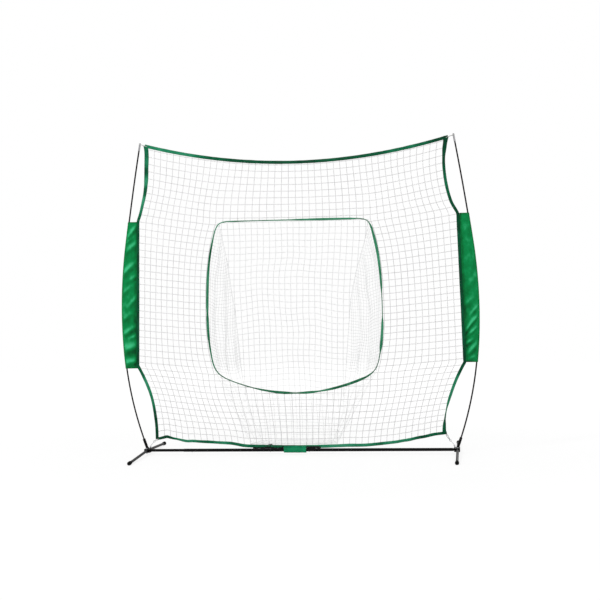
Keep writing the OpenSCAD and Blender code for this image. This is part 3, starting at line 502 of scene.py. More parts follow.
def glass_fibre():
    """Pultruded rod: dark, with glass rovings that run along it under a clear skin."""
    rod = Finish("glass_fibre_pole", Coat_Weight=0.03, Coat_Roughness=0.18,
                 Specular_IOR_Level=0.09)
    rovings = rod.noise(rod.place(scale=(1, 1, 0.012)), 1500.0, 2.0)
    clouds = rod.noise(rod.place(), 4.0, 3.0)
    rod.colour(rod.blend(rovings, clouds, 0.45, 0.55),
               [(0.35, (0.001, 0.001, 0.001)), (0.55, (0.004, 0.004, 0.004)),
                (0.75, (0.03, 0.026, 0.028))])
    rod.roughness(rovings, 0.22, 0.42)
    return rod.bump(rovings, 0.00015, 0.5)


def rubber(name, tint):
    """Moulded rubber or soft plastic, dusted paler."""
    moulding = Finish(name, Specular_IOR_Level=0.08)
    where = moulding.place()
    dust = moulding.noise(where, 55.0, 6.0, 0.7)
    moulding.colour(dust, [(0.4, tint), (0.8, tuple(3.5 * c for c in tint))])
    moulding.roughness(dust, 0.62, 0.85)
    return moulding.bump(moulding.noise(where, 1400.0, 2.0), 0.0003, 0.5)


def net_twine(name, low, high):
    """White twisted twine: strands that wind round each cord, painted shade in the grooves between
    them, and uneven tone.
    """
    cord = Finish(name, Specular_IOR_Level=0.3)
    lay_and_groove_shade = cord.ribs(cord.place(turn=(0, math.radians(45), 0)), 0.0022, "X", 0.6)
    tone_and_painted_light = cord.noise(cord.place(), 5.0, 4.0)
    # Painted shade: the lay's grooves are darker in the colour as well as in the bump
    cord.colour(cord.blend(lay_and_groove_shade, tone_and_painted_light, 0.25, 0.75), [(0.25, low), (0.75, high)])
    cord.roughness(lay_and_groove_shade, 0.5, 0.72)
    return cord.bump(lay_and_groove_shade, 0.0005, 0.6)


def webbing(name, stops, gloss=0.42):
    """Folded polyester tape: fine ribs across it, sheen and uneven dye. Its UV map is in metres, U
    along the tape and V round its section, and a point attribute paints light and shade on it."""
    band = Finish(name, Specular_IOR_Level=0.08)
    cloth = band.place("UV")
    weave = band.blend(band.ribs(cloth, 0.0011, "X", 0.8), band.ribs(cloth, 0.0016, "Y", 0.4),
                       0.6, 0.4)
    dyed = band.blend(weave, band.noise(band.place(), 7.0, 5.0, 0.6), 0.22, 0.78)
    band.colour(band.blend(dyed, band.attribute("shade"), 1.0, 0.32), stops)
    band.roughness(weave, gloss, gloss + 0.2)
    return band.bump(weave, 0.0004, 0.7)


def oxford(name, stops):
    """Coated satin cloth: plain weave, soft crumples, and painted light and shade on its folds,
    read from a point attribute of the mesh."""
    satin = Finish(name, Specular_IOR_Level=0.075)
    cloth = satin.place("UV")
    weave = satin.blend(satin.ribs(cloth, 0.0009, "X", 0.5), satin.ribs(cloth, 0.0009, "Y", 0.5))
    crumple = satin.noise(satin.place(scale=(1.0, 1.0, 0.7)), 34.0, 4.0, 0.55)
    dyed = satin.blend(crumple, satin.noise(satin.place(), 6.0, 3.0), 0.45, 0.55)
    satin.colour(satin.blend(dyed, satin.attribute("crease"), 1.0, 0.42), stops)
    satin.roughness(weave, 0.34, 0.50)
    return satin.bump(satin.blend(weave, crumple, 0.12, 0.88), 0.0022, 0.55)


def braided(name, dark, light):
    """Braided cord: crossing strands on a UV map in metres."""
    cord = Finish(name)
    one, two = (cord.ribs(cord.place("UV", turn=(0, 0, math.radians(lean))), 0.0018, "X")
                for lean in (38, -38))
    braid = cord.blend(one, two)
    cord.colour(braid, [(0.3, dark), (0.75, light)])
    cord.roughness(braid, 0.6, 0.8)
    return cord.bump(braid, 0.0005, 0.8)


steel = powder_coat("black_powder_coat", (0.0012, 0.0012, 0.0013), (0.0042, 0.0042, 0.0045))
socket_steel = powder_coat("socket_powder_coat", (0.0014, 0.0014, 0.0014), (0.006, 0.006, 0.006))
zinc = rolled_metal("zinc_plate", (0.30, 0.31, 0.33), (0.55, 0.56, 0.57), (1, 1, 1),
                    (0.28, 0.45))
tip_metal = rolled_metal("drawn_aluminium", (0.22, 0.22, 0.23), (0.42, 0.42, 0.43),
                         (1, 1, 0.03), (0.30, 0.5))
ferrule_metal = rolled_metal("blackened_ferrule", (0.05, 0.05, 0.052), (0.10, 0.10, 0.105),
                             (1, 1, 0.03), (0.35, 0.5))
fibre = glass_fibre()
foot_rubber = rubber("foot_rubber", (0.002, 0.002, 0.002))
bush_plastic = rubber("bush_plastic", (0.004, 0.004, 0.004))
twine = net_twine("white_twine", (0.66, 0.655, 0.66), (0.86, 0.85, 0.855))
# A lighter copy of the white twine for the pocket: painted light that offsets the shade the pocket
# casts on itself
painted_lighter_twine = net_twine("pocket_twine", (0.82, 0.82, 0.825), (0.94, 0.94, 0.94))
# The tapes' brightest stops are reached where their point attribute paints light, the darkest
# where it paints shade
green_tape = webbing("green_tape", [(0.28, (0.001, 0.045, 0.018)), (0.46, (0.002, 0.105, 0.042)),
                                    (0.62, (0.012, 0.22, 0.10)), (0.80, (0.055, 0.34, 0.19))])
hole_tape = webbing("hole_tape", [(0.30, (0.003, 0.06, 0.025)), (0.46, (0.010, 0.13, 0.055)),
                                  (0.62, (0.045, 0.25, 0.13)), (0.80, (0.09, 0.36, 0.21))])
side_tape = webbing("side_tape", [(0.28, (0.001, 0.038, 0.015)), (0.46, (0.002, 0.10, 0.040)),
                                  (0.62, (0.015, 0.22, 0.10)), (0.80, (0.055, 0.34, 0.19))])
# The sleeve cloth's brightest stop shows only in painted fold highlights, its darkest in painted
# shade at the seam and hems
sleeve_cloth = oxford("sleeve_cloth", [(0.12, (0.0003, 0.045, 0.012)),
                                       (0.38, (0.0006, 0.162, 0.037)),
                                       (0.58, (0.002, 0.252, 0.067)),
                                       (0.86, (0.045, 0.52, 0.22))])
strap_cloth = oxford("strap_cloth", [(0.20, (0.001, 0.08, 0.03)), (0.50, (0.006, 0.24, 0.10)),
                                     (0.80, (0.03, 0.42, 0.21))])
hook_cloth = webbing("hook_tape_cloth", [(0.2, (0.004, 0.004, 0.004)),
                                         (0.8, (0.016, 0.016, 0.016))], gloss=0.7)
thread = braided("green_thread", (0.006, 0.10, 0.045), (0.03, 0.26, 0.13))
pale_cord = braided("pale_cord", (0.34, 0.34, 0.33), (0.62, 0.62, 0.60))
dark_cord = braided("dark_cord", (0.003, 0.003, 0.003), (0.03, 0.03, 0.03))


# ---------------------------------------------------------------- node trees
def tree_with(name, sizes):
    """A geometry tree with a geometry input, named sizes and a material, and its inputs."""
    tree = bpy.data.node_groups.new(name, "GeometryNodeTree")
    for label, kind, value in (("Geometry", "Geometry", None), *sizes,
                               ("Finish", "Material", None)):
        socket = tree.interface.new_socket(label, in_out="INPUT", socket_type="NodeSocket" + kind)
        if value is not None:
            socket.default_value = value
    tree.interface.new_socket("Geometry", in_out="OUTPUT", socket_type="NodeSocketGeometry")
    return tree, tree.nodes.new("NodeGroupInput").outputs


def finish_tree(tree, given, parts):
    """Gathers a tree's parts, makes them real and gives them their finish."""
    gather = tree.nodes.new("GeometryNodeJoinGeometry")
    for part in parts:
        tree.links.new(part.outputs[0], gather.inputs[0])
    real = add_node(tree, "GeometryNodeRealizeInstances", {0: gather.outputs[0]})
    smooth = add_node(tree, "GeometryNodeSetShadeSmooth", {0: real.outputs[0]})
    paint_ = add_node(tree, "GeometryNodeSetMaterial", {0: smooth.outputs[0],
                                                        "Material": given["Finish"]})
    add_node(tree, "NodeGroupOutput", {0: paint_.outputs[0]})
    return tree


def point_mark(tree, name, kind):
    """Reads an attribute of the points that the tree is given."""
    return add_node(tree, "GeometryNodeInputNamedAttribute", {"Name": name},
                    data_type=kind).outputs[0]


def knotted_net_tree():
    """Cords along the edges of a mesh, as thick as each point's girth says, and a knot at each
    point marked as a crossing."""
    tree, given = tree_with("knotted_net", [
        ("Cord radius", "Float", 0.00125), ("Cord sides", "Int", 5),
        ("Knot radius", "Float", 0.0022)])
    curve = add_node(tree, "GeometryNodeMeshToCurve", {0: given[0]})
    section = add_node(tree, "GeometryNodeCurvePrimitiveCircle",
                       {"Resolution": given["Cord sides"], "Radius": given["Cord radius"]})
    girth = point_mark(tree, "girth", "FLOAT")
    cords = add_node(tree, "GeometryNodeCurveToMesh",
                     {"Curve": curve.outputs[0], "Profile Curve": section.outputs[0],
                      "Scale": girth, "Fill Caps": True})
    ball = add_node(tree, "GeometryNodeMeshIcoSphere", {"Radius": given["Knot radius"],
                                                        "Subdivisions": 1})
    knots = add_node(tree, "GeometryNodeInstanceOnPoints",
                     {"Points": given[0], "Selection": point_mark(tree, "crossing", "BOOLEAN"),
                      "Instance": ball.outputs[0], "Scale": girth})
    return finish_tree(tree, given, [cords, knots])


def stitches_tree():
    """A stitch at each point, lying along that point's direction."""
    tree, given = tree_with("stitch_row", [("Stitch length", "Float", 0.0042),
                                           ("Thread radius", "Float", 0.0004)])
    ball = add_node(tree, "GeometryNodeMeshIcoSphere", {"Radius": 1.0, "Subdivisions": 1})
    size = add_node(tree, "ShaderNodeCombineXYZ",
                    {0: math_node(tree, "MULTIPLY", given["Stitch length"], 0.5),
                     1: given["Thread radius"], 2: given["Thread radius"]})
    shape = add_node(tree, "GeometryNodeTransform", {"Geometry": ball.outputs[0],
                                                     "Scale": size.outputs[0]})
    turn = add_node(tree, "FunctionNodeAlignRotationToVector",
                    {"Vector": point_mark(tree, "along", "FLOAT_VECTOR")}, axis="X")
    row = add_node(tree, "GeometryNodeInstanceOnPoints",
                   {"Points": given[0], "Instance": shape.outputs[0],
                    "Rotation": turn.outputs[0]})
    return finish_tree(tree, given, [row])


NET_TREE, STITCH_TREE = knotted_net_tree(), stitches_tree()


def grow(name, tree, points, edges, marks, **sizes):
    """A piece that a tree makes from points and lines, with their marks and its sizes."""
    mesh = bpy.data.meshes.new(name)
    mesh.from_pydata([tuple(p) for p in points], edges, [])
    for mark in marks:
        mark_points(mesh, *mark)
    obj = add_object(name, mesh)
    mod = obj.modifiers.new(tree.name, "NODES")
    mod.node_group = tree
    for item in tree.interface.items_tree:
        label = item.name.replace(" ", "_")
        if item.item_type == "SOCKET" and item.in_out == "INPUT" and label in sizes:
            mod[item.identifier] = sizes[label]
    return settle(obj)


def sew(name, points, directions, length=0.0042, radius=0.0004):
    """A row of stitches, each at its point and along its direction."""
    seam = grow(name, STITCH_TREE, points, [],
                [("along", "FLOAT_VECTOR", np.array(directions, float).ravel())],
                Stitch_length=length, Thread_radius=radius, Finish=thread)
    dress(seam, None)
    return seam


# ---------------------------------------------------------------- netting
class Twine:
    """Lines of twine and their crossings, gathered before the tree makes them cord. girth(z) is
    the share of its full thickness that the twine has at a height."""

    def __init__(self, girth=lambda z: 1.0):
        self.girth = girth
        self.points, self.edges, self.crossings, self.girths = [], [], [], []

    def line(self, points, crossings=None):
        first = len(self.points)
        self.points += points
        self.girths += [self.girth(p[2]) for p in points]
        self.crossings += crossings or [False] * len(points)
        self.edges += [(first + k, first + k + 1) for k in range(len(points) - 1)]

    def piece(self, name, material, radius, knot, sides):
        return grow(name, NET_TREE, self.points, self.edges,
                    [("crossing", "BOOLEAN", self.crossings), ("girth", "FLOAT", self.girths)],
                    Cord_radius=radius, Cord_sides=sides, Knot_radius=knot, Finish=material)


MESHES_ACROSS, MESHES_DOWN = 46.5, 43.6
MESHES_BESIDE = 12.3  # from each side edge to the hole
COLUMN, ROW = 2 / MESHES_ACROSS, 1 / MESHES_DOWN
HOLE_S = 1 - 2 * MESHES_BESIDE / MESHES_ACROSS
NET_S, NET_V = 1 - 0.0070, 0.0036  # the net's edges end inside its bindings
NET_CORD, NET_KNOT = 0.0021, 0.0030
# Between the top and the bottom edge the rows sag less, and kink beside the hole: shares of
# the height over which they come to it, and how much of it they take on
KINK_IN, KINK_OUT, KINK_SHARE, ROW_FLAT = 0.24, 0.26, 0.85, 0.055
# The hole's sides draw the columns beside them; above and below the hole that fades out
HOLE_PULL, PULL_END = 0.50, 0.05


def front_point(s, v):
    """The front net's cloth: s runs across from -1 to 1 and v down from 0 to 1."""
    side, a = (1 if s > 0 else -1), abs(s)
    crown = a * a
    kink = max(0.0, (a - HOLE_S) / (1 - HOLE_S)) ** 1.15
    held = KINK_SHARE * ease(v / KINK_IN) * ease((1 - v) / KINK_OUT)
    lift = mix(TOP_SAG, LOW_Z - LOW_MID, v) - ROW_FLAT * math.sin(math.pi * v)
    z = mix(TOP_Z - TOP_SAG, LOW_MID, v) + lift * mix(crown, kink, held)
    edge = edge_x(side, max(LOW_Z, min(TOP_Z, z)))
    reach = rim_x(side, z) * side - HOLE_S * edge
    above = ease(1 - (z - HOLE_CORNER) / HOLE_PULL) if z > HOLE_CORNER else 1.0
    below = ease((z - PULL_END) / HOLE_PULL) if z < HOLE_LOW else 1.0
    tent = a / HOLE_S if a < HOLE_S else (1 - a) / (1 - HOLE_S)
    x = side * (a * edge + reach * above * below * tent)
    z += corner_pull(x, z)
    loose = arch(v) * arch((s + 1) / 2)
    return (x + ripple(0.0035 * loose, 9.0 * x, 9.0 * z, 3.1),
            ripple(0.010 * loose, 2.3 * x, 1.9 * z, 0.4),
            z + ripple(0.0035 * loose, 9.0 * x, 9.0 * z, 7.7))


def rim_point(inside, outside):
    """Where a line from inside the target hole to outside it meets the rim."""
    for _ in range(18):
        middle = tuple((p + q) / 2 for p, q in zip(inside, outside))
        if in_hole(middle[0], middle[2]):
            inside = middle
        else:
            outside = middle
    return outside


def add_clipped(net, stations):
    """Adds the stretches of a line that lie outside the target hole."""
    run, crossings, before = [], [], None
    for p, crossing in stations:
        inside = in_hole(p[0], p[2])
        if not inside:
            if before is not None and before[1]:
                run, crossings = [rim_point(before[0], p)], [False]
            run.append(p)
            crossings.append(crossing)
        elif before is not None and not before[1]:
            net.line(run + [rim_point(p, before[0])], crossings + [False])
            run, crossings = [], []
        before = (p, inside)
    if len(run) > 1:
        net.line(run, crossings)


def make_front_net():
    """Every mesh of the front net, its upper and lower rows cut off in the bindings."""
    net = Twine()
    columns, rows = 22, 43  # columns each side of the middle one, and rows
    for k in range(-columns, columns + 1):
        stations = [(NET_V, False)]
        for j in range(rows + 1):
            if j:
                stations.append(((j - 0.1) * ROW, False))
            stations.append(((j + 0.4) * ROW, j < rows))
        stations.append((1.0 - NET_V, False))
        add_clipped(net, [(front_point(k * COLUMN, v), crossing) for v, crossing in stations])
    for j in range(rows):
        halves = 2 * columns + 2
        stations = [-NET_S] + [k * COLUMN / 2 for k in range(-halves, halves + 1)] + [NET_S]
        add_clipped(net, [(front_point(s, (j + 0.4) * ROW), False) for s in stations])
    obj = net.piece("front_netting", twine, NET_CORD, NET_KNOT, sides=5)
    dress(obj, "front_net")


# Pocket: limp netting on a back panel, two folded side panels and a floor. Each panel is cut
# from straight net, so its outer columns end where the panel narrows.
POCKET_TOP, POCKET_LOW, POCKET_DEPTH = 1.595, 0.072, 0.210
POCKET_MID = [(0, -0.022), (0.36, -0.058), (0.70, -0.062), (1, -0.046)]
POCKET_HALF = [(0, 0.512), (0.05, 0.503), (0.20, 0.446), (0.36, 0.406), (0.69, 0.364),
               (0.86, 0.330), (1, 0.252)]
POCKET_FLOOR = 0.068
BACK_MESH, BACK_COLUMNS, POCKET_ROWS = 0.0415, 13, 36
SIDE_MESH, SIDE_COLUMNS, SIDE_FULLNESS, SIDE_FOLD = 0.020, 18, 1.35, 0.118
DOUBLED = 0.66  # down to this share of the height the side nets hang in double folds
POCKET_CORD, POCKET_KNOT, SIDE_THIN = 0.0017, 0.0024, 0.68
MOUTH_Y = 0.0041  # the pocket is laced behind the hole's binding


def pocket_mid(v):
    """Middle of the back panel at v down."""
    return along_keys(POCKET_MID, v)


def pocket_half(v):
    """Half width of the back panel at v down."""
    return along_keys(POCKET_HALF, v, soft=float)


def back_at(x, v):
    """The back panel at x across and v down."""
    across = max(-1.0, min(1.0, (x - pocket_mid(v)) / pocket_half(v)))
    slack = ease(v / 0.15)
    z = mix(POCKET_TOP, POCKET_LOW, v)
    z -= arch(v) * (0.034 * ease((across - 0.1) / 0.9) + 0.014 * ease((-0.4 - across) / 0.6))
    z += ripple(slack * 0.012, 5.5 * x, 7.0 * v, 9.1)
    y = 0.0021 + POCKET_DEPTH * (1 - (1 - v) ** 2) + ripple(slack * 0.014, 4.0 * x, 5.0 * v, 1.2)
    dx = ripple(slack * (1 - across * across) * 0.012, 5.0 * x, 8.0 * v, 5.5)
    return x + dx, y, max(POCKET_FLOOR, z)


def back_edge(side, v):
    """The back panel's left or right edge at v down."""
    return back_at(pocket_mid(v) + side * pocket_half(v), v)


def mouth_at(side, v):
    """The side of the pocket's mouth: down the hole's binding, then in to the floor."""
    z = mix(POCKET_TOP, POCKET_LOW, v)
    t = (HOLE_CORNER - z) / (HOLE_CORNER - HOLE_LOW)
    if t <= 1:
        reach = hole_half(t) - 0.002 if t > 0 else HOLE_TOP_HALF - 0.004
        return HOLE_X + side * reach, MOUTH_Y, z
    k = (HOLE_LOW - z) / (HOLE_LOW - POCKET_LOW)
    return (mix(HOLE_X + side * (HOLE_LOW_HALF - 0.004), pocket_mid(1) + side * 0.300, k),
            MOUTH_Y + 0.006 * k, z)


def side_width(side, v):
    """Net in a side panel at v down: more than its span, because it hangs in folds."""
    return SIDE_FULLNESS * math.dist(mouth_at(side, v), back_edge(side, v))


def side_at(side, d, v):
    """A side panel at d metres of net behind the mouth, gathered in soft upright folds."""
    u = min(1.0, d / max(1e-6, side_width(side, v)))
    x, y, z = (mix(p, q, u) for p, q in zip(mouth_at(side, v), back_edge(side, v)))
    deep = arch(u) * ease(v / 0.12) * ease((1 - v) / 0.06)
    fold = math.sin(2 * math.pi * (d / SIDE_FOLD + 0.35 * v) + 1.3 * side)
    x += side * -0.008 * fold * deep + ripple(0.012 * deep, 14 * d, 9 * v, side)
    y += ripple(0.012 * deep, 12 * d, 7 * v, 3.0 + side)
    z += deep * (ripple(0.016, 9 * d, 10 * v, 4.0 + side) - 0.022)
    return x, max(0.0045, y), max(POCKET_FLOOR, z)


def floor_at(u, v):
    """The pocket's floor, u across and v from its front edge back."""
    a, b = (Vector(mouth_at(side, 1)) for side in (-1, 1))
    c, d = (Vector(back_edge(side, 1)) for side in (-1, 1))
    p = a.lerp(b, u).lerp(c.lerp(d, u), v)
    return p.x, p.y, 0.0695 - 0.008 * arch(u) * arch(v)


def slack_girth(z):
    """The netting is pulled to a finer cord where it is gathered to the floor."""
    return mix(0.50, 1.0, ease((z - 0.42) / 0.26))


def panel_end(fits, inside, outside):
    """The last share down a column that is still on its panel."""
    for _ in range(12):
        middle = (inside + outside) / 2
        if fits(middle):
            inside = middle
        else:
            outside = middle
    return inside


def hang_columns(net, at, fits):
    """Adds the stretches of a column where fits(v), with a knot at every other station."""
    def hang(run):
        if len(run) > 1:
            net.line([at(v) for v in run], [k % 2 == 0 for k in range(len(run))])

    run, before = [], None
    for v in even(2 * POCKET_ROWS):
        if fits(v):
            if not run and before is not None:
                run.append(panel_end(fits, v, before))
            run.append(v)
        elif run:
            hang(run + [panel_end(fits, before, v)])
            run = []
        before = v
    hang(run)


def back_net():
    """The back panel: columns that spread less lower down, its two edges, and its rows."""
    net = Twine(slack_girth)
    for i in range(-BACK_COLUMNS, BACK_COLUMNS + 1):
        def column_x(v):
            return pocket_mid(v) + i * BACK_MESH * (1 - 0.10 * v)
        hang_columns(net, lambda v: back_at(column_x(v), v),
                     lambda v: abs(column_x(v) - pocket_mid(v)) <= pocket_half(v))
    for side in (-1, 1):
        net.line([back_edge(side, v) for v in even(2 * POCKET_ROWS)])
    for v in even(POCKET_ROWS):
        net.line([back_at(pocket_mid(v) + mix(-1, 1, u) * pocket_half(v), v) for u in even(48)])
    return net


def side_net(side):
    """A side panel, with every other column and row left out below the double folds."""
    net = Twine(slack_girth)
    for i in range(SIDE_COLUMNS):
        d = 0.002 + i * SIDE_MESH
        hang_columns(net, lambda v: side_at(side, d, v),
                     lambda v: d <= side_width(side, v) and (i % 2 == 0 or v < DOUBLED))
    for j, v in enumerate(even(2 * POCKET_ROWS)):
        if j and (j % 2 == 0 or v <= DOUBLED):
            reach = side_width(side, v)
            count = max(4, int(reach / SIDE_MESH))
            net.line([side_at(side, reach * k / count, v) for k in range(count + 1)])
    return net


def floor_net():
    """The pocket's floor, knotted where its columns cross the rows."""
    net = Twine(slack_girth)
    for u in even(14):
        net.line([floor_at(u, v) for v in even(6)], [0 < v < 1 for v in even(6)])
    for v in even(5):
        net.line([floor_at(u, v) for u in even(28)])
    return net


def make_pocket():
    """The four panels of the pocket, the side ones of finer twine."""
    for word, net, node, thin in (("back", back_net(), "pocket_back", 1.0),
                                  ("left", side_net(-1), "pocket_left_side", SIDE_THIN),
                                  ("right", side_net(1), "pocket_right_side", SIDE_THIN),
                                  ("floor", floor_net(), "pocket_floor", 1.0)):
        obj = net.piece(f"pocket_{word}_netting", painted_lighter_twine, POCKET_CORD * thin,
                        POCKET_KNOT * thin, sides=4)
        dress(obj, node)


# ---------------------------------------------------------------- bindings
def tape_section(width, thick):
    """Section of a tape folded over the net: closed round fold at +, two leaves at -."""
    half, t = width / 2, thick / 2
    front = [(-half, -0.50 * t), (-0.86 * half, -0.80 * t), (-0.35 * half, -0.92 * t),
             (0.25 * half, -1.0 * t), (0.72 * half, -0.92 * t), (0.95 * half, -0.52 * t)]
    return front + [(half, 0.0)] + [(a, -b) for a, b in reversed(front)]


TAPE_STEP, STITCH_PITCH = 0.0075, 0.0062
PUCKER, PUCKER_PITCH = 0.00045, 0.021  # the sewn net draws the tape in between its cords


def stitched_tape(name, seam_name, node, path, material, width, thick, seed, face, tone_and_painted_light,
                  breadth=lambda t: 1.0, sway=0.002, closed=False, inset=-0.28):
    """A folded tape along a path in the net's plane, with its stitches. face(t) turns it about
    its length, in degrees, breadth(t) scales its width and the third function of t paints light
    and shade along its cloth; inset is the seam's place in shares of the width."""
    rnd = random.Random(seed)
    pts = [Vector((x, 0, z)) for x, z in resample(np.array(path, float), TAPE_STEP, closed)]
    count = len(pts)
    shift = [rnd.uniform(-1, 1) for _ in range(count)]
    run = run_lengths(pts, closed)
    front = Vector((0, -1, 0))
    rings, laid, tape_painted_lights = [], [], []
    for k, p in enumerate(pts):
        t = k / (count if closed else count - 1)
        a, b = neighbours(pts, k, closed)
        way = (b - a).normalized()
        flat = Vector((-way.z, 0, way.x))  # outwards: left of a clockwise path
        turn = math.radians(face(t))
        out = math.cos(turn) * flat + math.sin(turn) * front
        thin = -math.sin(turn) * flat + math.cos(turn) * front
        soft = ripple(1, run[k] * 22.0, seed * 3.7, 0.2)
        w = width * breadth(t) * (1 + 0.07 * soft)
        gather = PUCKER * (math.sin(run[k] * 2 * math.pi / PUCKER_PITCH + 2 * soft)
                           + 0.5 * shift[k])
        centre = p + front * ripple(sway, run[k] * 9.0, seed * 1.3, 4.2)
        section = tape_section(w, thick)
        rings.append([centre + out * a + thin * (gather * (1 if abs(a) < 0.3 * width else 0.4)
                                                 - b * (1 + 0.12 * soft)) for a, b in section])
        laid.append((way, [centre + out * (inset * w) + thin * (leaf * 0.47 * thick)
                           for leaf in (-1, 1)]))
        tape_painted_lights += [tone_and_painted_light(t)] * len(section)
    around = run_lengths([(a, 0, b) for a, b in tape_section(width, thick)], True)
    obj = skin(name, rings, material, run, around, closed)
    # Painted light and shade along the tape, from the third function of t
    mark_points(obj.data, "shade", "FLOAT", tape_painted_lights)
    dress(obj, node)

    spots, ways, at, k = [], [], STITCH_PITCH, 0
    while at < run[-1] - STITCH_PITCH:
        while k < count - 1 and run[k + 1] < at:
            k += 1
        (way, here), (_, there) = laid[k], laid[(k + 1) % count]
        spots += [p.lerp(q, (at - run[k]) / (run[k + 1] - run[k])) for p, q in zip(here, there)]
        ways += [way, way]
        at += STITCH_PITCH
    sew(seam_name, spots, ways)


# Turns in degrees, widths and painted light and shade along the edge bindings: the top one from
# its left end, the bottom one from its right end, the side ones from above. The side ones are
# painted darker where they run beside the sleeves
TOP_PAINTED_LIGHT = [(0, 0.3), (0.10, 0.45), (0.18, 0.1), (0.30, -0.45), (0.60, -0.5), (0.78, -0.15),
             (0.92, -0.1), (1, -0.6)]
LOW_TURNS = [(0, -5), (0.12, -25), (0.3, -12), (0.5, -4), (0.7, -8), (0.82, -22), (0.93, -35),
             (0.96, -8), (1, -6)]
LOW_WIDTHS = [(0, 0.9), (0.1, 1.0), (0.9, 0.95), (0.945, 0.75), (0.97, 0.9), (1, 0.8)]
LOW_PAINTED_LIGHT = [(0, -0.4), (0.08, -0.3), (0.13, 0.6), (0.19, 0.7), (0.24, 0.1), (0.33, 0.5),
             (0.45, 0.4), (0.55, 0.0), (0.70, -0.2), (0.78, 0.4), (0.84, 0.2), (0.88, 0.7),
             (0.92, 0.4), (0.95, -0.3), (1, -0.5)]
SIDE_KEYS = {
    -1: ([(0, -2), (0.10, -6), (0.2, -2), (0.26, -4), (0.75, -4), (0.80, -10), (0.9, -14),
          (1, -6)],
         [(0, 1.42), (0.10, 1.38), (0.17, 1.10), (0.22, 0.95), (1, 1.0)],
         [(0, 0.3), (0.03, -0.1), (0.06, 0.5), (0.09, -0.3), (0.12, 0.4), (0.155, -0.3),
          (0.18, 0.4), (0.24, -0.1), (0.27, -0.45), (0.72, -0.45), (0.77, -0.3), (0.81, 0.6),
          (0.87, 0.0), (0.92, -0.5), (1, -0.7)]),
    1: ([(0, -6), (0.1, -12), (0.2, -3), (0.26, -4), (0.75, -4), (0.82, -10), (0.885, -35),
         (0.925, -80), (0.95, -70), (0.98, -15), (1, -5)],
        [(0, 1.6), (0.03, 1.35), (0.07, 0.95), (0.95, 0.95), (1, 1.2)],
        [(0, -0.8), (0.04, -0.7), (0.10, -0.3), (0.18, 0.1), (0.25, -0.2), (0.27, -0.35),
         (0.72, -0.35), (0.77, -0.3), (0.82, 0.5), (0.86, 0.6), (0.91, 0.2), (0.95, -0.2),
         (1, -0.5)])}


def make_bindings():
    """The four edge bindings, each laid clockwise."""
    top = [(x, top_z(x)) for x in (mix(-TOP_X - 0.014, TOP_X + 0.011, t) for t in even(90))]
    stitched_tape("top_binding", "top_binding_stitches", "top_edge_band", top,
                  green_tape, 0.0225, 0.0062, seed=3, face=lambda t: 8 * math.sin(9 * t) - 6,
                  tone_and_painted_light=keyed(TOP_PAINTED_LIGHT))
    low = [(x, low_z(x) + corner_pull(x, low_z(x)))
           for x in (mix(LOW_X + 0.008, -LOW_X - 0.008, t) for t in even(90))]
    stitched_tape("bottom_binding", "bottom_binding_stitches", "bottom_edge_band",
                  low, green_tape, 0.0225, 0.0058, seed=5, sway=0.003,
                  face=keyed(LOW_TURNS), breadth=keyed(LOW_WIDTHS), tone_and_painted_light=keyed(LOW_PAINTED_LIGHT))
    for side, word in ((-1, "left"), (1, "right")):
        line, keys = [], SIDE_KEYS[side]
        for z in (mix(TOP_Z + 0.006, LOW_Z, t) for t in even(110)):
            pull = corner_pull(side * LOW_X, z) if z < LOW_Z + 0.2 else 0.0
            line.append((side * edge_x(side, z), z + pull))
        if side < 0:
            line.reverse()
            keys = [[(1 - t, value) for t, value in reversed(row)] for row in keys]
        face, breadth, tone_and_painted_light = map(keyed, keys)
        stitched_tape(f"{word}_binding", f"{word}_binding_stitches", f"{word}_edge_band",
                      line, side_tape, 0.0215, 0.0058, seed=7 + side,
                      face=face, breadth=breadth, tone_and_painted_light=tone_and_painted_light)


# The hole's binding on its top, right, lower and left sides, each by shares of its own length:
# how far it rolls, in degrees, and the painted light and shade on it
HOLE_ROLLS = [
    [(0.00, 68), (0.05, 62), (0.10, 55), (0.25, 66), (0.45, 60), (0.58, 38), (0.72, 28),
     (0.88, 40), (0.95, 66), (1.00, 66)],
    [(0.06, 30), (0.16, 8), (0.30, 18), (0.42, 28), (0.50, 64), (0.62, 66), (0.70, 20),
     (0.82, 5), (0.88, 60), (0.99, 68)],
    [(0.05, 40), (0.12, 12), (0.25, 22), (0.36, 50), (0.42, 20), (0.50, 55), (0.58, 12),
     (0.68, 40), (0.78, 66), (0.97, 70)],
    [(0.10, 60), (0.20, 50), (0.27, 22), (0.36, 18), (0.40, 45), (0.46, 18), (0.62, 20),
     (0.74, 38), (0.85, 45), (0.92, 64), (1.00, 68)]]
HOLE_PAINTED_LIGHT = [
    [(0.00, 0.80), (0.06, 0.60), (0.13, 0.10), (0.45, 0.25), (0.60, 0.55), (0.88, 0.45),
     (0.97, 0.10)],
    [(0.06, 0.30), (0.30, 0.32), (0.50, -0.10), (0.72, 0.32), (0.90, -0.10)],
    [(0.05, -0.20), (0.20, 0.0), (0.36, 0.14), (0.50, -0.05), (0.80, -0.10)],
    [(0.05, -0.10), (0.20, 0.10), (0.30, 0.34), (0.46, 0.34), (0.70, 0.20), (0.84, -0.05),
     (0.92, 0.40), (1.00, 0.80)]]


def make_hole_binding():
    """The hole's tape hangs free of tension, so it rolls and narrows on its way round."""
    lengths = np.linalg.norm(np.roll(hole_line, -1, 0) - hole_line, axis=1)
    corners = (np.concatenate([[0], np.cumsum(lengths)]) / lengths.sum())[::HOLE_STEPS]

    def round_hole(rows):
        return keyed([(mix(corners[side], corners[side + 1], t), value)
                      for side, row in enumerate(rows) for t, value in row])

    roll = round_hole(HOLE_ROLLS)
    stitched_tape("target_hole_binding", "target_hole_stitches", "target_hole_band",
                  hole_line, hole_tape, 0.018, 0.0046, seed=11,
                  closed=True, inset=0.25, face=lambda t: 1.18 * roll(t),
                  breadth=lambda t: 1.08 - 0.004 * roll(t), tone_and_painted_light=round_hole(HOLE_PAINTED_LIGHT))


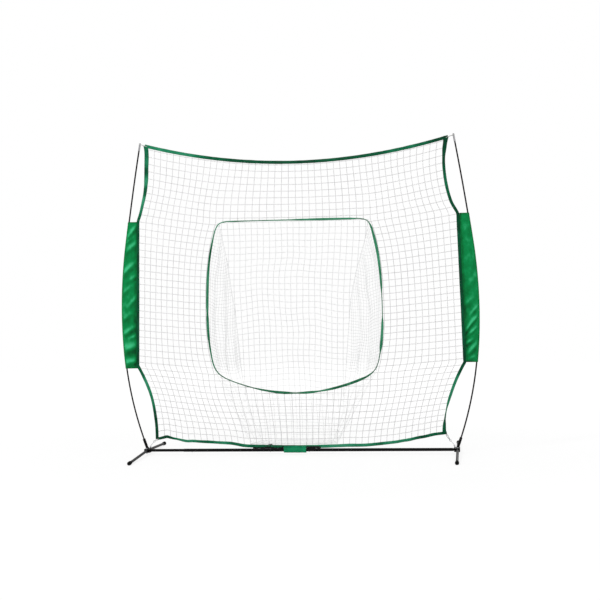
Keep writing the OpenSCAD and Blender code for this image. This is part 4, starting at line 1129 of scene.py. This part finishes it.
# ---------------------------------------------------------------- pole sleeves
# Pull folds on the front of each sleeve: share of its height, slope, breadth, depth, place
# between seam and pole, and length. The left sleeve hangs looser than the right one.
FRONT_FOLDS = {
    -1: [(0.945, 1.35, 0.026, 0.0075, 0.53, 0.50), (0.895, 0.90, 0.015, 0.0030, 0.75, 0.35),
         (0.835, 0.80, 0.025, 0.0062, 0.45, 0.55), (0.700, 0.85, 0.027, 0.0088, 0.66, 0.60),
         (0.612, 0.60, 0.018, 0.0034, 0.30, 0.30), (0.560, 0.75, 0.021, 0.0038, 0.78, 0.35),
         (0.445, 1.00, 0.023, 0.0052, 0.26, 0.32), (0.372, 0.70, 0.020, 0.0034, 0.70, 0.35),
         (0.268, 0.60, 0.022, 0.0072, 0.58, 0.50), (0.210, 0.45, 0.014, 0.0028, 0.30, 0.30),
         (0.150, 0.25, 0.033, 0.0100, 0.50, 0.65), (0.052, 0.15, 0.024, 0.0080, 0.50, 0.65)],
    1: [(0.900, 0.30, 0.040, 0.0030, 0.55, 0.60), (0.700, 0.10, 0.046, 0.0034, 0.60, 0.60),
        (0.540, 0.90, 0.028, 0.0034, 0.75, 0.40), (0.420, 0.80, 0.024, 0.0036, 0.40, 0.40),
        (0.330, 1.10, 0.018, 0.0040, 0.70, 0.30), (0.270, 1.50, 0.020, 0.0064, 0.34, 0.32),
        (0.262, 1.20, 0.016, 0.0044, 0.76, 0.26), (0.205, 0.90, 0.014, 0.0034, 0.60, 0.30),
        (0.150, 0.60, 0.017, 0.0056, 0.30, 0.28), (0.090, 1.10, 0.027, 0.0086, 0.60, 0.42),
        (0.034, 0.40, 0.019, 0.0044, 0.45, 0.40)]}
SLEEVE_ENDS = {-1: (SLEEVE_LOW - 0.019, SLEEVE_TOP - 0.006), 1: (SLEEVE_LOW, SLEEVE_TOP + 0.003)}
SLEEVE_RINGS, PANEL_POINTS, WRAP_POINTS = 210, 22, 9
SEAM_ALLOWANCE = 0.004
GAUGE_RING = 100  # its lengths lay out the weave
CLOTH_GAP, SEAM_IN = 0.0030, 0.0075  # cloth off the pole, and over the side binding
HEM_WIDTH, CLOTH_STITCH = 0.016, 0.0058


def fold_lines(side, face):
    """Folds of one sleeve face with their heights in metres; the back face has its own."""
    low, high = SLEEVE_ENDS[side]
    if face < 0:
        return [(mix(low, high, at) - 0.6 * broad, slope, broad, deep, middle, length)
                for at, slope, broad, deep, middle, length in FRONT_FOLDS[side]]
    rnd = random.Random(41 + 7 * side + face)
    folds, z = [], low + 0.03
    while z < high + 0.04:
        folds.append((z, rnd.uniform(0.30, 1.10), rnd.uniform(0.0160, 0.0300),
                      rnd.uniform(0.0040, 0.0085), rnd.uniform(0.25, 0.75),
                      rnd.uniform(0.30, 0.60)))
        z += rnd.uniform(0.075, 0.150)
    return folds


def fold_height(folds, rise, u, z):
    """Height of the folds at u across the panel, and how far the cloth faces up there, painted as
    light and shade.
    """
    height = painted_fold_light = 0.0
    for at, slope, broad, deep, middle, length in folds:
        q = (z - at - slope * rise) / broad
        if abs(q) < 3.5:
            h = deep * math.exp(-((u - middle) / length) ** 2) * math.exp(-q * q)
            height += h
            # Painted highlight on the upper flank of each fold, painted shade on the lower one
            painted_fold_light += (9.0 if q > 0 else 6.3) * q * h / broad
    return height, painted_fold_light


def sleeve_ring(side, z, folds):
    """One ring of a sleeve, from its seam over the front, round the pole and back, with the
    painted light and shade of each point."""
    low, high = SLEEVE_ENDS[side]
    from_end = min(z - low, high - z)
    pole, seam, r = pole_x(z), side_x(z) + SEAM_IN, POLE_R + CLOTH_GAP
    hem = 0.0007 * ease(1 - abs(from_end - 0.008) / 0.010)
    # Painted shade at the hems
    hem_painted_shade = 0.4 * ease(1 - (from_end - 0.004) / 0.008)
    points, lights = [], []

    def panel(u, face):
        x = mix(seam, pole + 0.0015, u)
        flat = mix(0.0018, r, ease(min(1, 1.12 * u)))
        puff = 0.0045 * arch(min(1, 1.05 * u)) * (0.7 + 0.5 * math.sin(7 * z + side))
        rise = side * x - side * (seam + pole) / 2
        height, painted_fold_light = fold_height(folds[face], rise, u, z)
        rim = ease(u / 0.10) * ease((1.02 - u) / 0.16)
        crumple = ripple(0.0010, 60 * x, 5.0 * face, 45 * z)
        points.append(Vector((side * x, face * (flat + puff + height * rim + crumple + hem), z)))
        # Painted shade along the seam, where the cloth dips in
        waver = ripple(0.09, 3.0 * side, face, 7.0 * z)
        dark = 0.36 * ease((0.25 + waver - u) / 0.15) + 0.26 * ease((0.55 + waver - u) / 0.5)
        lights.append(max(-1.0, min(1.0, 0.12 + 0.62 * painted_fold_light * rim - dark - hem_painted_shade)))

    for i in range(PANEL_POINTS):
        panel(i / PANEL_POINTS, -1)
    for t in even(WRAP_POINTS - 1):
        a = math.radians(mix(-88, 88, t))
        points.append(Vector((side * (pole + (r + hem) * math.cos(a)), (r + hem) * math.sin(a),
                              z)))
        # Painted shade round the pole
        lights.append(-0.1)
    for i in range(PANEL_POINTS - 1, -1, -1):
        panel(i / PANEL_POINTS, 1)
    return points, lights


def sleeve_hems(word, rings, low, high):
    """Stitches along both hems, through the front and the back of the sleeve."""
    spots, ways = [], []
    for z in (low + HEM_WIDTH, high - HEM_WIDTH):
        ring = rings[int(round((z - low) / (high - low) * SLEEVE_RINGS))]
        at, done = 0.003, 0.0
        for a, b in zip(ring, ring[1:]):
            step = (b - a).length
            while at <= done + step:
                p = a.lerp(b, (at - done) / step)
                spots.append(p + Vector((0, math.copysign(0.0003, p.y), 0)))
                ways.append((b - a).normalized())
                at += CLOTH_STITCH
            done += step
    return sew(f"{word}_sleeve_stitches", spots, ways, 0.0040, 0.00035)


def make_sleeve(side, word):
    """A sheet folded round the pole and sewn to the side binding, with a hem at each end."""
    low, high = SLEEVE_ENDS[side]
    folds = {face: fold_lines(side, face) for face in (-1, 1)}
    rings, lights = zip(*(sleeve_ring(side, mix(low, high, t), folds)
                          for t in even(SLEEVE_RINGS)))
    around = run_lengths(rings[GAUGE_RING])
    around.append(around[-1] + SEAM_ALLOWANCE)
    faces, uvs = ring_faces(rings, [ring[0].z for ring in rings], around)
    obj = mesh_from(f"{word}_sleeve", [v for ring in rings for v in ring], faces, sleeve_cloth,
                    [[(v, u) for u, v in face] for face in uvs])
    # Painted light and shade of each point, which the sleeve cloth reads
    mark_points(obj.data, "crease", "FLOAT", [v for row in lights for v in row])
    outward(obj)
    thicken(obj, 0.0009, -1.0)
    dress(obj, f"{word}_pole_sleeve")
    hems = sleeve_hems(word, rings, low, high)


# ---------------------------------------------------------------- strap and hook tape
def make_strap():
    """Cloth wrapped under the bar, its two flaps sewn up round the bottom binding."""
    r, x0, x1 = BAR_R + 0.0011, -0.114, 0.040
    rings = []
    for x in (mix(x0, x1, t) for t in even(36)):
        top = 0.0570 + ripple(0.0010, 30 * x, 0.0, 9.0)
        front = [(-0.0032 - 0.0004 * math.sin(9 * i + 60 * x),
                  mix(top, BAR_Z + BAR_R + 0.003, i / 8)) for i in range(9)]
        slack = 0.0062 + ripple(0.0012, 34 * x, 1.0, 2.0)
        for t in even(14)[1:]:
            a = mix(68, -90, t)
            bulge = 0.0012 * math.exp(-((a + 20) / 26) ** 2) * (1 + math.sin(95 * x))
            front.append((-r * math.cos(math.radians(a)) - bulge,
                          BAR_Z + r * math.sin(math.radians(a)) - slack * ease(t)))
        back = [(-y, z) for y, z in reversed(front[:-1])]
        lean = ripple(0.0006, 50 * x, 3.0, 1.0)
        rings.append([Vector((x, y + lean, z)) for y, z in front + back])
    around = run_lengths(rings[0])
    faces, uvs = ring_faces(rings, [ring[0].x for ring in rings], around, wraps=False)
    obj = mesh_from("bar_strap_cloth", [v for ring in rings for v in ring], faces, strap_cloth,
                    uvs)
    thicken(obj, 0.0012, 0.0)
    dress(obj, "bar_strap")
    spots = []
    for z in (0.0545, 0.0455):
        x = x0 + 0.004
        while x < x1 - 0.004:
            spots += [(x, face * 0.0044, z) for face in (-1, 1)]
            x += CLOTH_STITCH
    seam = sew("bar_strap_stitches", spots, [(1, 0, 0)] * len(spots))


def make_hook_tape():
    """The two lengths of hook tape on the bottom binding, left and right of the strap."""
    parts = []
    for x0, x1, seed in ((-0.328, -0.1155, 1), (0.0415, 0.140, 2)):
        rings = []
        for x in (mix(x0, x1, t) for t in even(max(6, int((x1 - x0) / 0.006)))):
            wobble = ripple(0.0006, 40 * x, seed, 0.0)
            low, high = 0.0413 + wobble, 0.0557 + 0.5 * wobble
            face, back = -0.0036 + 0.4 * wobble, -0.0024 + 0.4 * wobble
            rings.append([Vector((x, y, z)) for y, z in
                          ((face, low + 0.0005), (face, high - 0.0005), (face + 0.0003, high),
                           (back, high), (back, low), (face + 0.0003, low))])
        parts.append(skin(f"hook_tape_{seed}", rings, hook_cloth, [ring[0].x for ring in rings],
                          [0, 0.014, 0.0145, 0.0155, 0.03, 0.031, 0.0315]))
    dress(join("hook_tape_strips", parts), "hook_tape")


# ---------------------------------------------------------------- cords
def loop_points(a, b, half_w, twisted=False):
    """A closed loop of cord round a post at a and through a hole at b, lying across Y at its
    ends. A twisted loop has its two strands change places on the way."""
    way = (b - a).normalized()
    side = Vector((0, 1, 0))
    flat = way.cross(side)
    far = b - way * half_w
    turn, flip = (math.pi, -1) if twisted else (0.0, 1)

    def bend(centre, start, hand):
        return [centre + way * half_w * math.cos(a) + side * hand * half_w * math.sin(a)
                for a in (math.radians(mix(start, start + 180, t)) for t in even(12))]

    def strand(t, sign):
        out = math.cos(turn * t) * side + math.sin(turn * t) * flat
        return a.lerp(far, t) + sign * half_w * out

    between = even(12)[1:-1]
    return (bend(a, 90, 1) + [strand(t, -1) for t in between]
            + bend(far, -90, flip) + [strand(t, 1) for t in reversed(between)])


# Middle lines in the plane of the net, for the right side: the pole tip's neck and the net's
# top corner that the loop joins, the welded eye and the bottom corner that hook and cord join
TIP_NECK, TOP_CORNER = Vector((1.0776, 0, 2.1504)), Vector((1.027, 0, 2.133))
TIE_EYE, LOW_CORNER = Vector((1.050, 0, 0.05478)), Vector((0.989, 0, 0.125))
HOOK_REACH, HOOK_OFFSET = 0.052, 0.0031


def make_corner_cords(side, word):
    """The loop on the pole's tip, and the twisted elastic cord on the hook of the tie eye."""
    def mirrored(p, lift=0.0):
        return Vector((side * p.x, p.y, p.z + lift))

    loop = cord_piece(f"{word}_loop_cord",
                      loop_points(mirrored(TIP_NECK), mirrored(TOP_CORNER), 0.00605), 0.002,
                      pale_cord, 10, closed=True)
    dress(loop, f"{word}_corner_loop")
    tie = (LOW_CORNER - TIE_EYE).normalized()
    hook = TIE_EYE + tie * HOOK_REACH + Vector((tie.z, 0, -tie.x)) * HOOK_OFFSET
    corner = mirrored(LOW_CORNER, corner_pull(side * LOW_X, LOW_Z))
    elastic = cord_piece(f"{word}_elastic_cord",
                         loop_points(mirrored(hook), corner, 0.0042, twisted=True), 0.0016,
                         pale_cord if side < 0 else dark_cord, 10, closed=True)
    dress(elastic, f"{word}_elastic")


def make_bar_tie():
    """A cord once round bar and binding, with a knot on top and two short tails."""
    tie_x, top, r = -0.205, 0.0582, 0.0128
    turns = []
    for t in even(40):
        a = math.radians(mix(100, 440, t))
        y, z = r * math.cos(a), BAR_Z + r * math.sin(a)
        lift = max(0.0, (math.sin(a) - 0.3) / 0.7)
        turns.append((tie_x + 0.0025 * math.sin(a), y * (1 - 0.55 * lift),
                      z + lift * (top - BAR_Z - r - 0.0007)))
    knot = [(tie_x + 0.0045 * (math.sin(a) + 1.1 * math.sin(2 * a)),
             -0.0040 - 0.0022 * math.sin(3 * a),
             top + 0.0085 + 0.0042 * (math.cos(a) - 1.1 * math.cos(2 * a)))
            for a in (2 * math.pi * t for t in even(48)[:-1])]
    parts = [cord_piece("tie_loop", turns, 0.0014, dark_cord),
             cord_piece("tie_knot", knot, 0.0014, dark_cord, closed=True)]
    for sign in (-1, 1):
        tail = [(tie_x + sign * out, y, top + up) for out, y, up in
                ((0.002, -0.005, 0.010), (0.008, -0.0075, 0.0125), (0.014, -0.0080, 0.0100),
                 (0.019, -0.0075, 0.0040), (0.021, -0.0068, -0.0040))]
        parts.append(cord_piece(f"tie_tail_{sign}", tail, 0.0013, dark_cord))
    dress(join("bar_tie_cord", parts), "bar_tie")


# ---------------------------------------------------------------- feet
LEG_LENGTH, LEG_SLOPE, FOOT_R, FOOT_SIDES = 0.495, math.radians(2.08), 0.0135, 40


def foot_section():
    """Outline of a foot from its mouth on the leg to its end: place along the leg and radius."""
    section = [(-0.0420, 0.0092), (-0.0420, 0.0108), (-0.0412, 0.0118), (-0.0398, 0.0122),
               (-0.0380, 0.0121), (-0.0366, 0.0114), (-0.0345, 0.0113)]
    for rib in range(3):
        at = -0.0330 + 0.0062 * rib
        section += [(at, 0.0116), (at + 0.0008, 0.0126), (at + 0.0022, 0.0130),
                    (at + 0.0036, 0.0126), (at + 0.0044, 0.0117)]
    section += [(-0.0135, 0.0120), (-0.0118, 0.0132), (-0.0095, FOOT_R), (-0.0040, FOOT_R)]
    for t in even(8)[1:-1]:
        a = math.radians(90 * t)
        section.append((-0.0040 + 0.0040 * math.sin(a), FOOT_R - 0.0062 * (1 - math.cos(a))))
    return section + [(0.0002, 0.0055)]


def make_foot(sx, sy, word):
    """A moulded rubber foot: rolled mouth, three ribs, a domed end and a worn flat below."""
    way = Vector((0, sy * math.cos(LEG_SLOPE), -math.sin(LEG_SLOPE)))
    up = Vector((0, sy * math.sin(LEG_SLOPE), math.cos(LEG_SLOPE)))
    wide = Vector((1, 0, 0))
    root = Vector((sx * PIVOT_X, sy * PIVOT_Y, BAR_Z))
    section, rings = foot_section(), []
    for d, radius in section:
        centre = root + way * (LEG_LENGTH + 0.004 + d)
        ring = [centre + radius * (math.cos(a) * wide + math.sin(a) * up)
                for a in circle(FOOT_SIDES)]
        rings.append([Vector((p.x, p.y, max(p.z, 0.0))) for p in ring])
    obj = skin(f"{word}_foot_rubber", rings, foot_rubber, [d for d, _ in section],
               round_lengths(FOOT_R, FOOT_SIDES))
    dress(obj, f"{word}_foot", body=f"{word}_leg_set")


# ---------------------------------------------------------------- button springs
LEAF, PRESS = 0.0008, 0.00475
STRIP_EDGES = [(-0.003, -0.7), (-0.0028, -1), (0.0028, -1), (0.003, -0.7), (0.003, 0.7),
               (0.0028, 1), (-0.0028, 1), (-0.003, 0.7)]  # across, and half leaves up


def make_button_spring(word):
    """A bent spring strip behind a snap button."""
    low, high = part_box(f"{word}_button_spring")
    middle, rise, t = (low.z + high.z) / 2, (high.z - low.z) / 2 - LEAF / 2, LEAF / 2
    half = [(high.x, 1.0), (high.x - 0.0045, 1.0), (high.x - 0.0090, 1.0),
            (high.x - 0.0110, 0.975), (high.x - 0.0150, 0.90), (high.x - 0.0250, 0.68),
            (high.x - 0.0350, 0.45), (high.x - 0.0420, 0.29), (low.x + 0.0030, 0.21),
            (low.x + 0.0013, 0.155), (low.x + LEAF / 2, 0.07)]
    line = [Vector((x, 0, middle - rise * share)) for x, share in half]
    line += [Vector((x, 0, middle + rise * share)) for x, share in reversed(half)]
    rings = []
    for k, p in enumerate(line):
        a, b = neighbours(line, k)
        way = (b - a).normalized()
        thin = Vector((-way.z, 0, way.x))
        rings.append([p + Vector((0, u, 0)) + thin * (v * t) for u, v in STRIP_EDGES])
    obj = skin(f"{word}_spring_strip", rings, zinc, run_lengths(line),
               [0, 0.0003, 0.0059, 0.0062, 0.0068, 0.0071, 0.0127, 0.013, 0.0136])
    dress(obj, f"{word}_button_spring")
    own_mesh(obj)


# ---------------------------------------------------------------- finishes of the frame
def paint(material, *names):
    """Gives CAD nodes a finish in their own slots."""
    for name in names:
        mesh = nodes[name].data
        if not mesh.materials:
            mesh.materials.append(material)
        for k in range(len(mesh.materials)):
            nodes[name].material_slots[k].material = material


def paint_frame():
    """Finishes of the CAD nodes that show as they are."""
    both = ("left", "right")
    paint(steel, *(f"{w}_{part}" for part in ("corner_bracket", "corner_tube", "bar_tube")
                   for w in both), "bar_spigot",
          *(f"{f}_{w}_leg" for f in ("front", "rear") for w in both))
    paint(socket_steel, *(f"{w}_{part}" for part in ("pole_socket", "tie_eye") for w in both))
    paint(zinc, "left_snap_button", "centre_snap_button", "leg_pivot_bolts", "leg_pivot_nuts",
          "leg_pivot_washers", *(f"{w}_corner_hook" for w in both))
    paint(bush_plastic, *(f"{w}_socket_bush" for w in both))
    paint(fibre, *(f"{w}_pole_{part}" for w in both for part in ("lower", "middle", "upper")))
    paint(ferrule_metal, *(f"{w}_pole_ferrules" for w in both))
    paint(tip_metal, *(f"{w}_pole_tip" for w in both))


# ---------------------------------------------------------------- floor and light
LAMPS = [("key_lamp", (-3.6, -5.0, 6.2), 1.6, 250), ("fill_lamp", (4.4, -4.6, 3.4), 3.0, 40),
         ("back_lamp", (1.8, 5.6, 3.8), 3.0, 110)]  # place, size and power
LAMP_TARGET = Vector((0, 0, 1.0))
ROOM_LIGHT = 0.50
FLOOR_GLOW, FLOOR_RADIUS, FLOOR_SIDES = 1.03, 9, 64
# The floor's own light takes over from its surface between two distances from the object
GLOW_SHARE = {"From Min": 1.6, "From Max": 4.0, "To Min": 0.81, "To Max": 1.0}


def seen_rays(tree):
    """1 for the rays that show the background: camera, glossy and transmission rays."""
    path = tree.nodes.new("ShaderNodeLightPath").outputs
    both = math_node(tree, "MAXIMUM", path["Is Glossy Ray"], path["Is Transmission Ray"])
    return math_node(tree, "MAXIMUM", path["Is Camera Ray"], both)


def light_room():
    """A plain white background, and softer light from all round on the object."""
    world = bpy.data.worlds.new("studio")
    bpy.context.scene.world = world
    world.use_nodes = True
    tree = world.node_tree
    tree.nodes.clear()
    soft, plain = (add_node(tree, "ShaderNodeBackground", {"Color": (1, 1, 1, 1),
                                                           "Strength": strength})
                   for strength in (ROOM_LIGHT, 1.0))
    pick = add_node(tree, "ShaderNodeMixShader", {0: seen_rays(tree), 1: soft.outputs[0],
                                                  2: plain.outputs[0]})
    add_node(tree, "ShaderNodeOutputWorld", {"Surface": pick.outputs[0]})
    for name, spot, size, power in LAMPS:
        light = bpy.data.lights.new(name, "AREA")
        light.shape, light.size, light.energy = "DISK", size, power
        way = LAMP_TARGET - Vector(spot)
        add_object(name, light).matrix_world = (
            Matrix.Translation(spot) @ way.to_track_quat("-Z", "Y").to_matrix().to_4x4())
    bpy.context.scene.view_settings.view_transform = "Standard"


def lay_floor():
    """A pale floor that glows to white away from the object and keeps its shadow near it."""
    floor = Finish("studio_floor", Roughness=0.9)
    floor.colour(floor.noise(floor.place(), 2.0, 2.0),
                 [(0.0, (0.93, 0.93, 0.93)), (1.0, (0.95, 0.95, 0.95))])
    far = floor.node("ShaderNodeVectorMath", {0: floor.place()}, operation="LENGTH")
    fade = floor.node("ShaderNodeMapRange", {"Value": far.outputs["Value"], **GLOW_SHARE})
    share = math_node(floor.tree, "MULTIPLY", seen_rays(floor.tree), fade.outputs[0])
    glow = floor.node("ShaderNodeEmission", {"Strength": FLOOR_GLOW})
    mixed = floor.node("ShaderNodeMixShader", {0: share, 1: floor.shader.outputs[0],
                                               2: glow.outputs[0]})
    floor.tree.links.new(mixed.outputs[0], floor.out.inputs[0])
    verts = [(FLOOR_RADIUS * math.cos(a), FLOOR_RADIUS * math.sin(a), 0.0)
             for a in circle(FLOOR_SIDES)]
    mesh_from("studio_ground", verts, [tuple(range(FLOOR_SIDES))], floor.material)


# ---------------------------------------------------------------- assembly
make_front_net()
make_pocket()
make_bindings()
make_hole_binding()
for side_, word_ in ((-1, "left"), (1, "right")):
    make_sleeve(side_, word_)
make_strap()
make_hook_tape()
for side_, word_ in ((-1, "left"), (1, "right")):
    make_corner_cords(side_, word_)
make_bar_tie()
for sx_, word_ in ((-1, "left"), (1, "right")):
    for sy_, end_ in ((-1, "front"), (1, "rear")):
        make_foot(sx_, sy_, f"{end_}_{word_}")
for word_ in ("left", "centre"):
    make_button_spring(word_)
paint_frame()
light_room()
lay_floor()
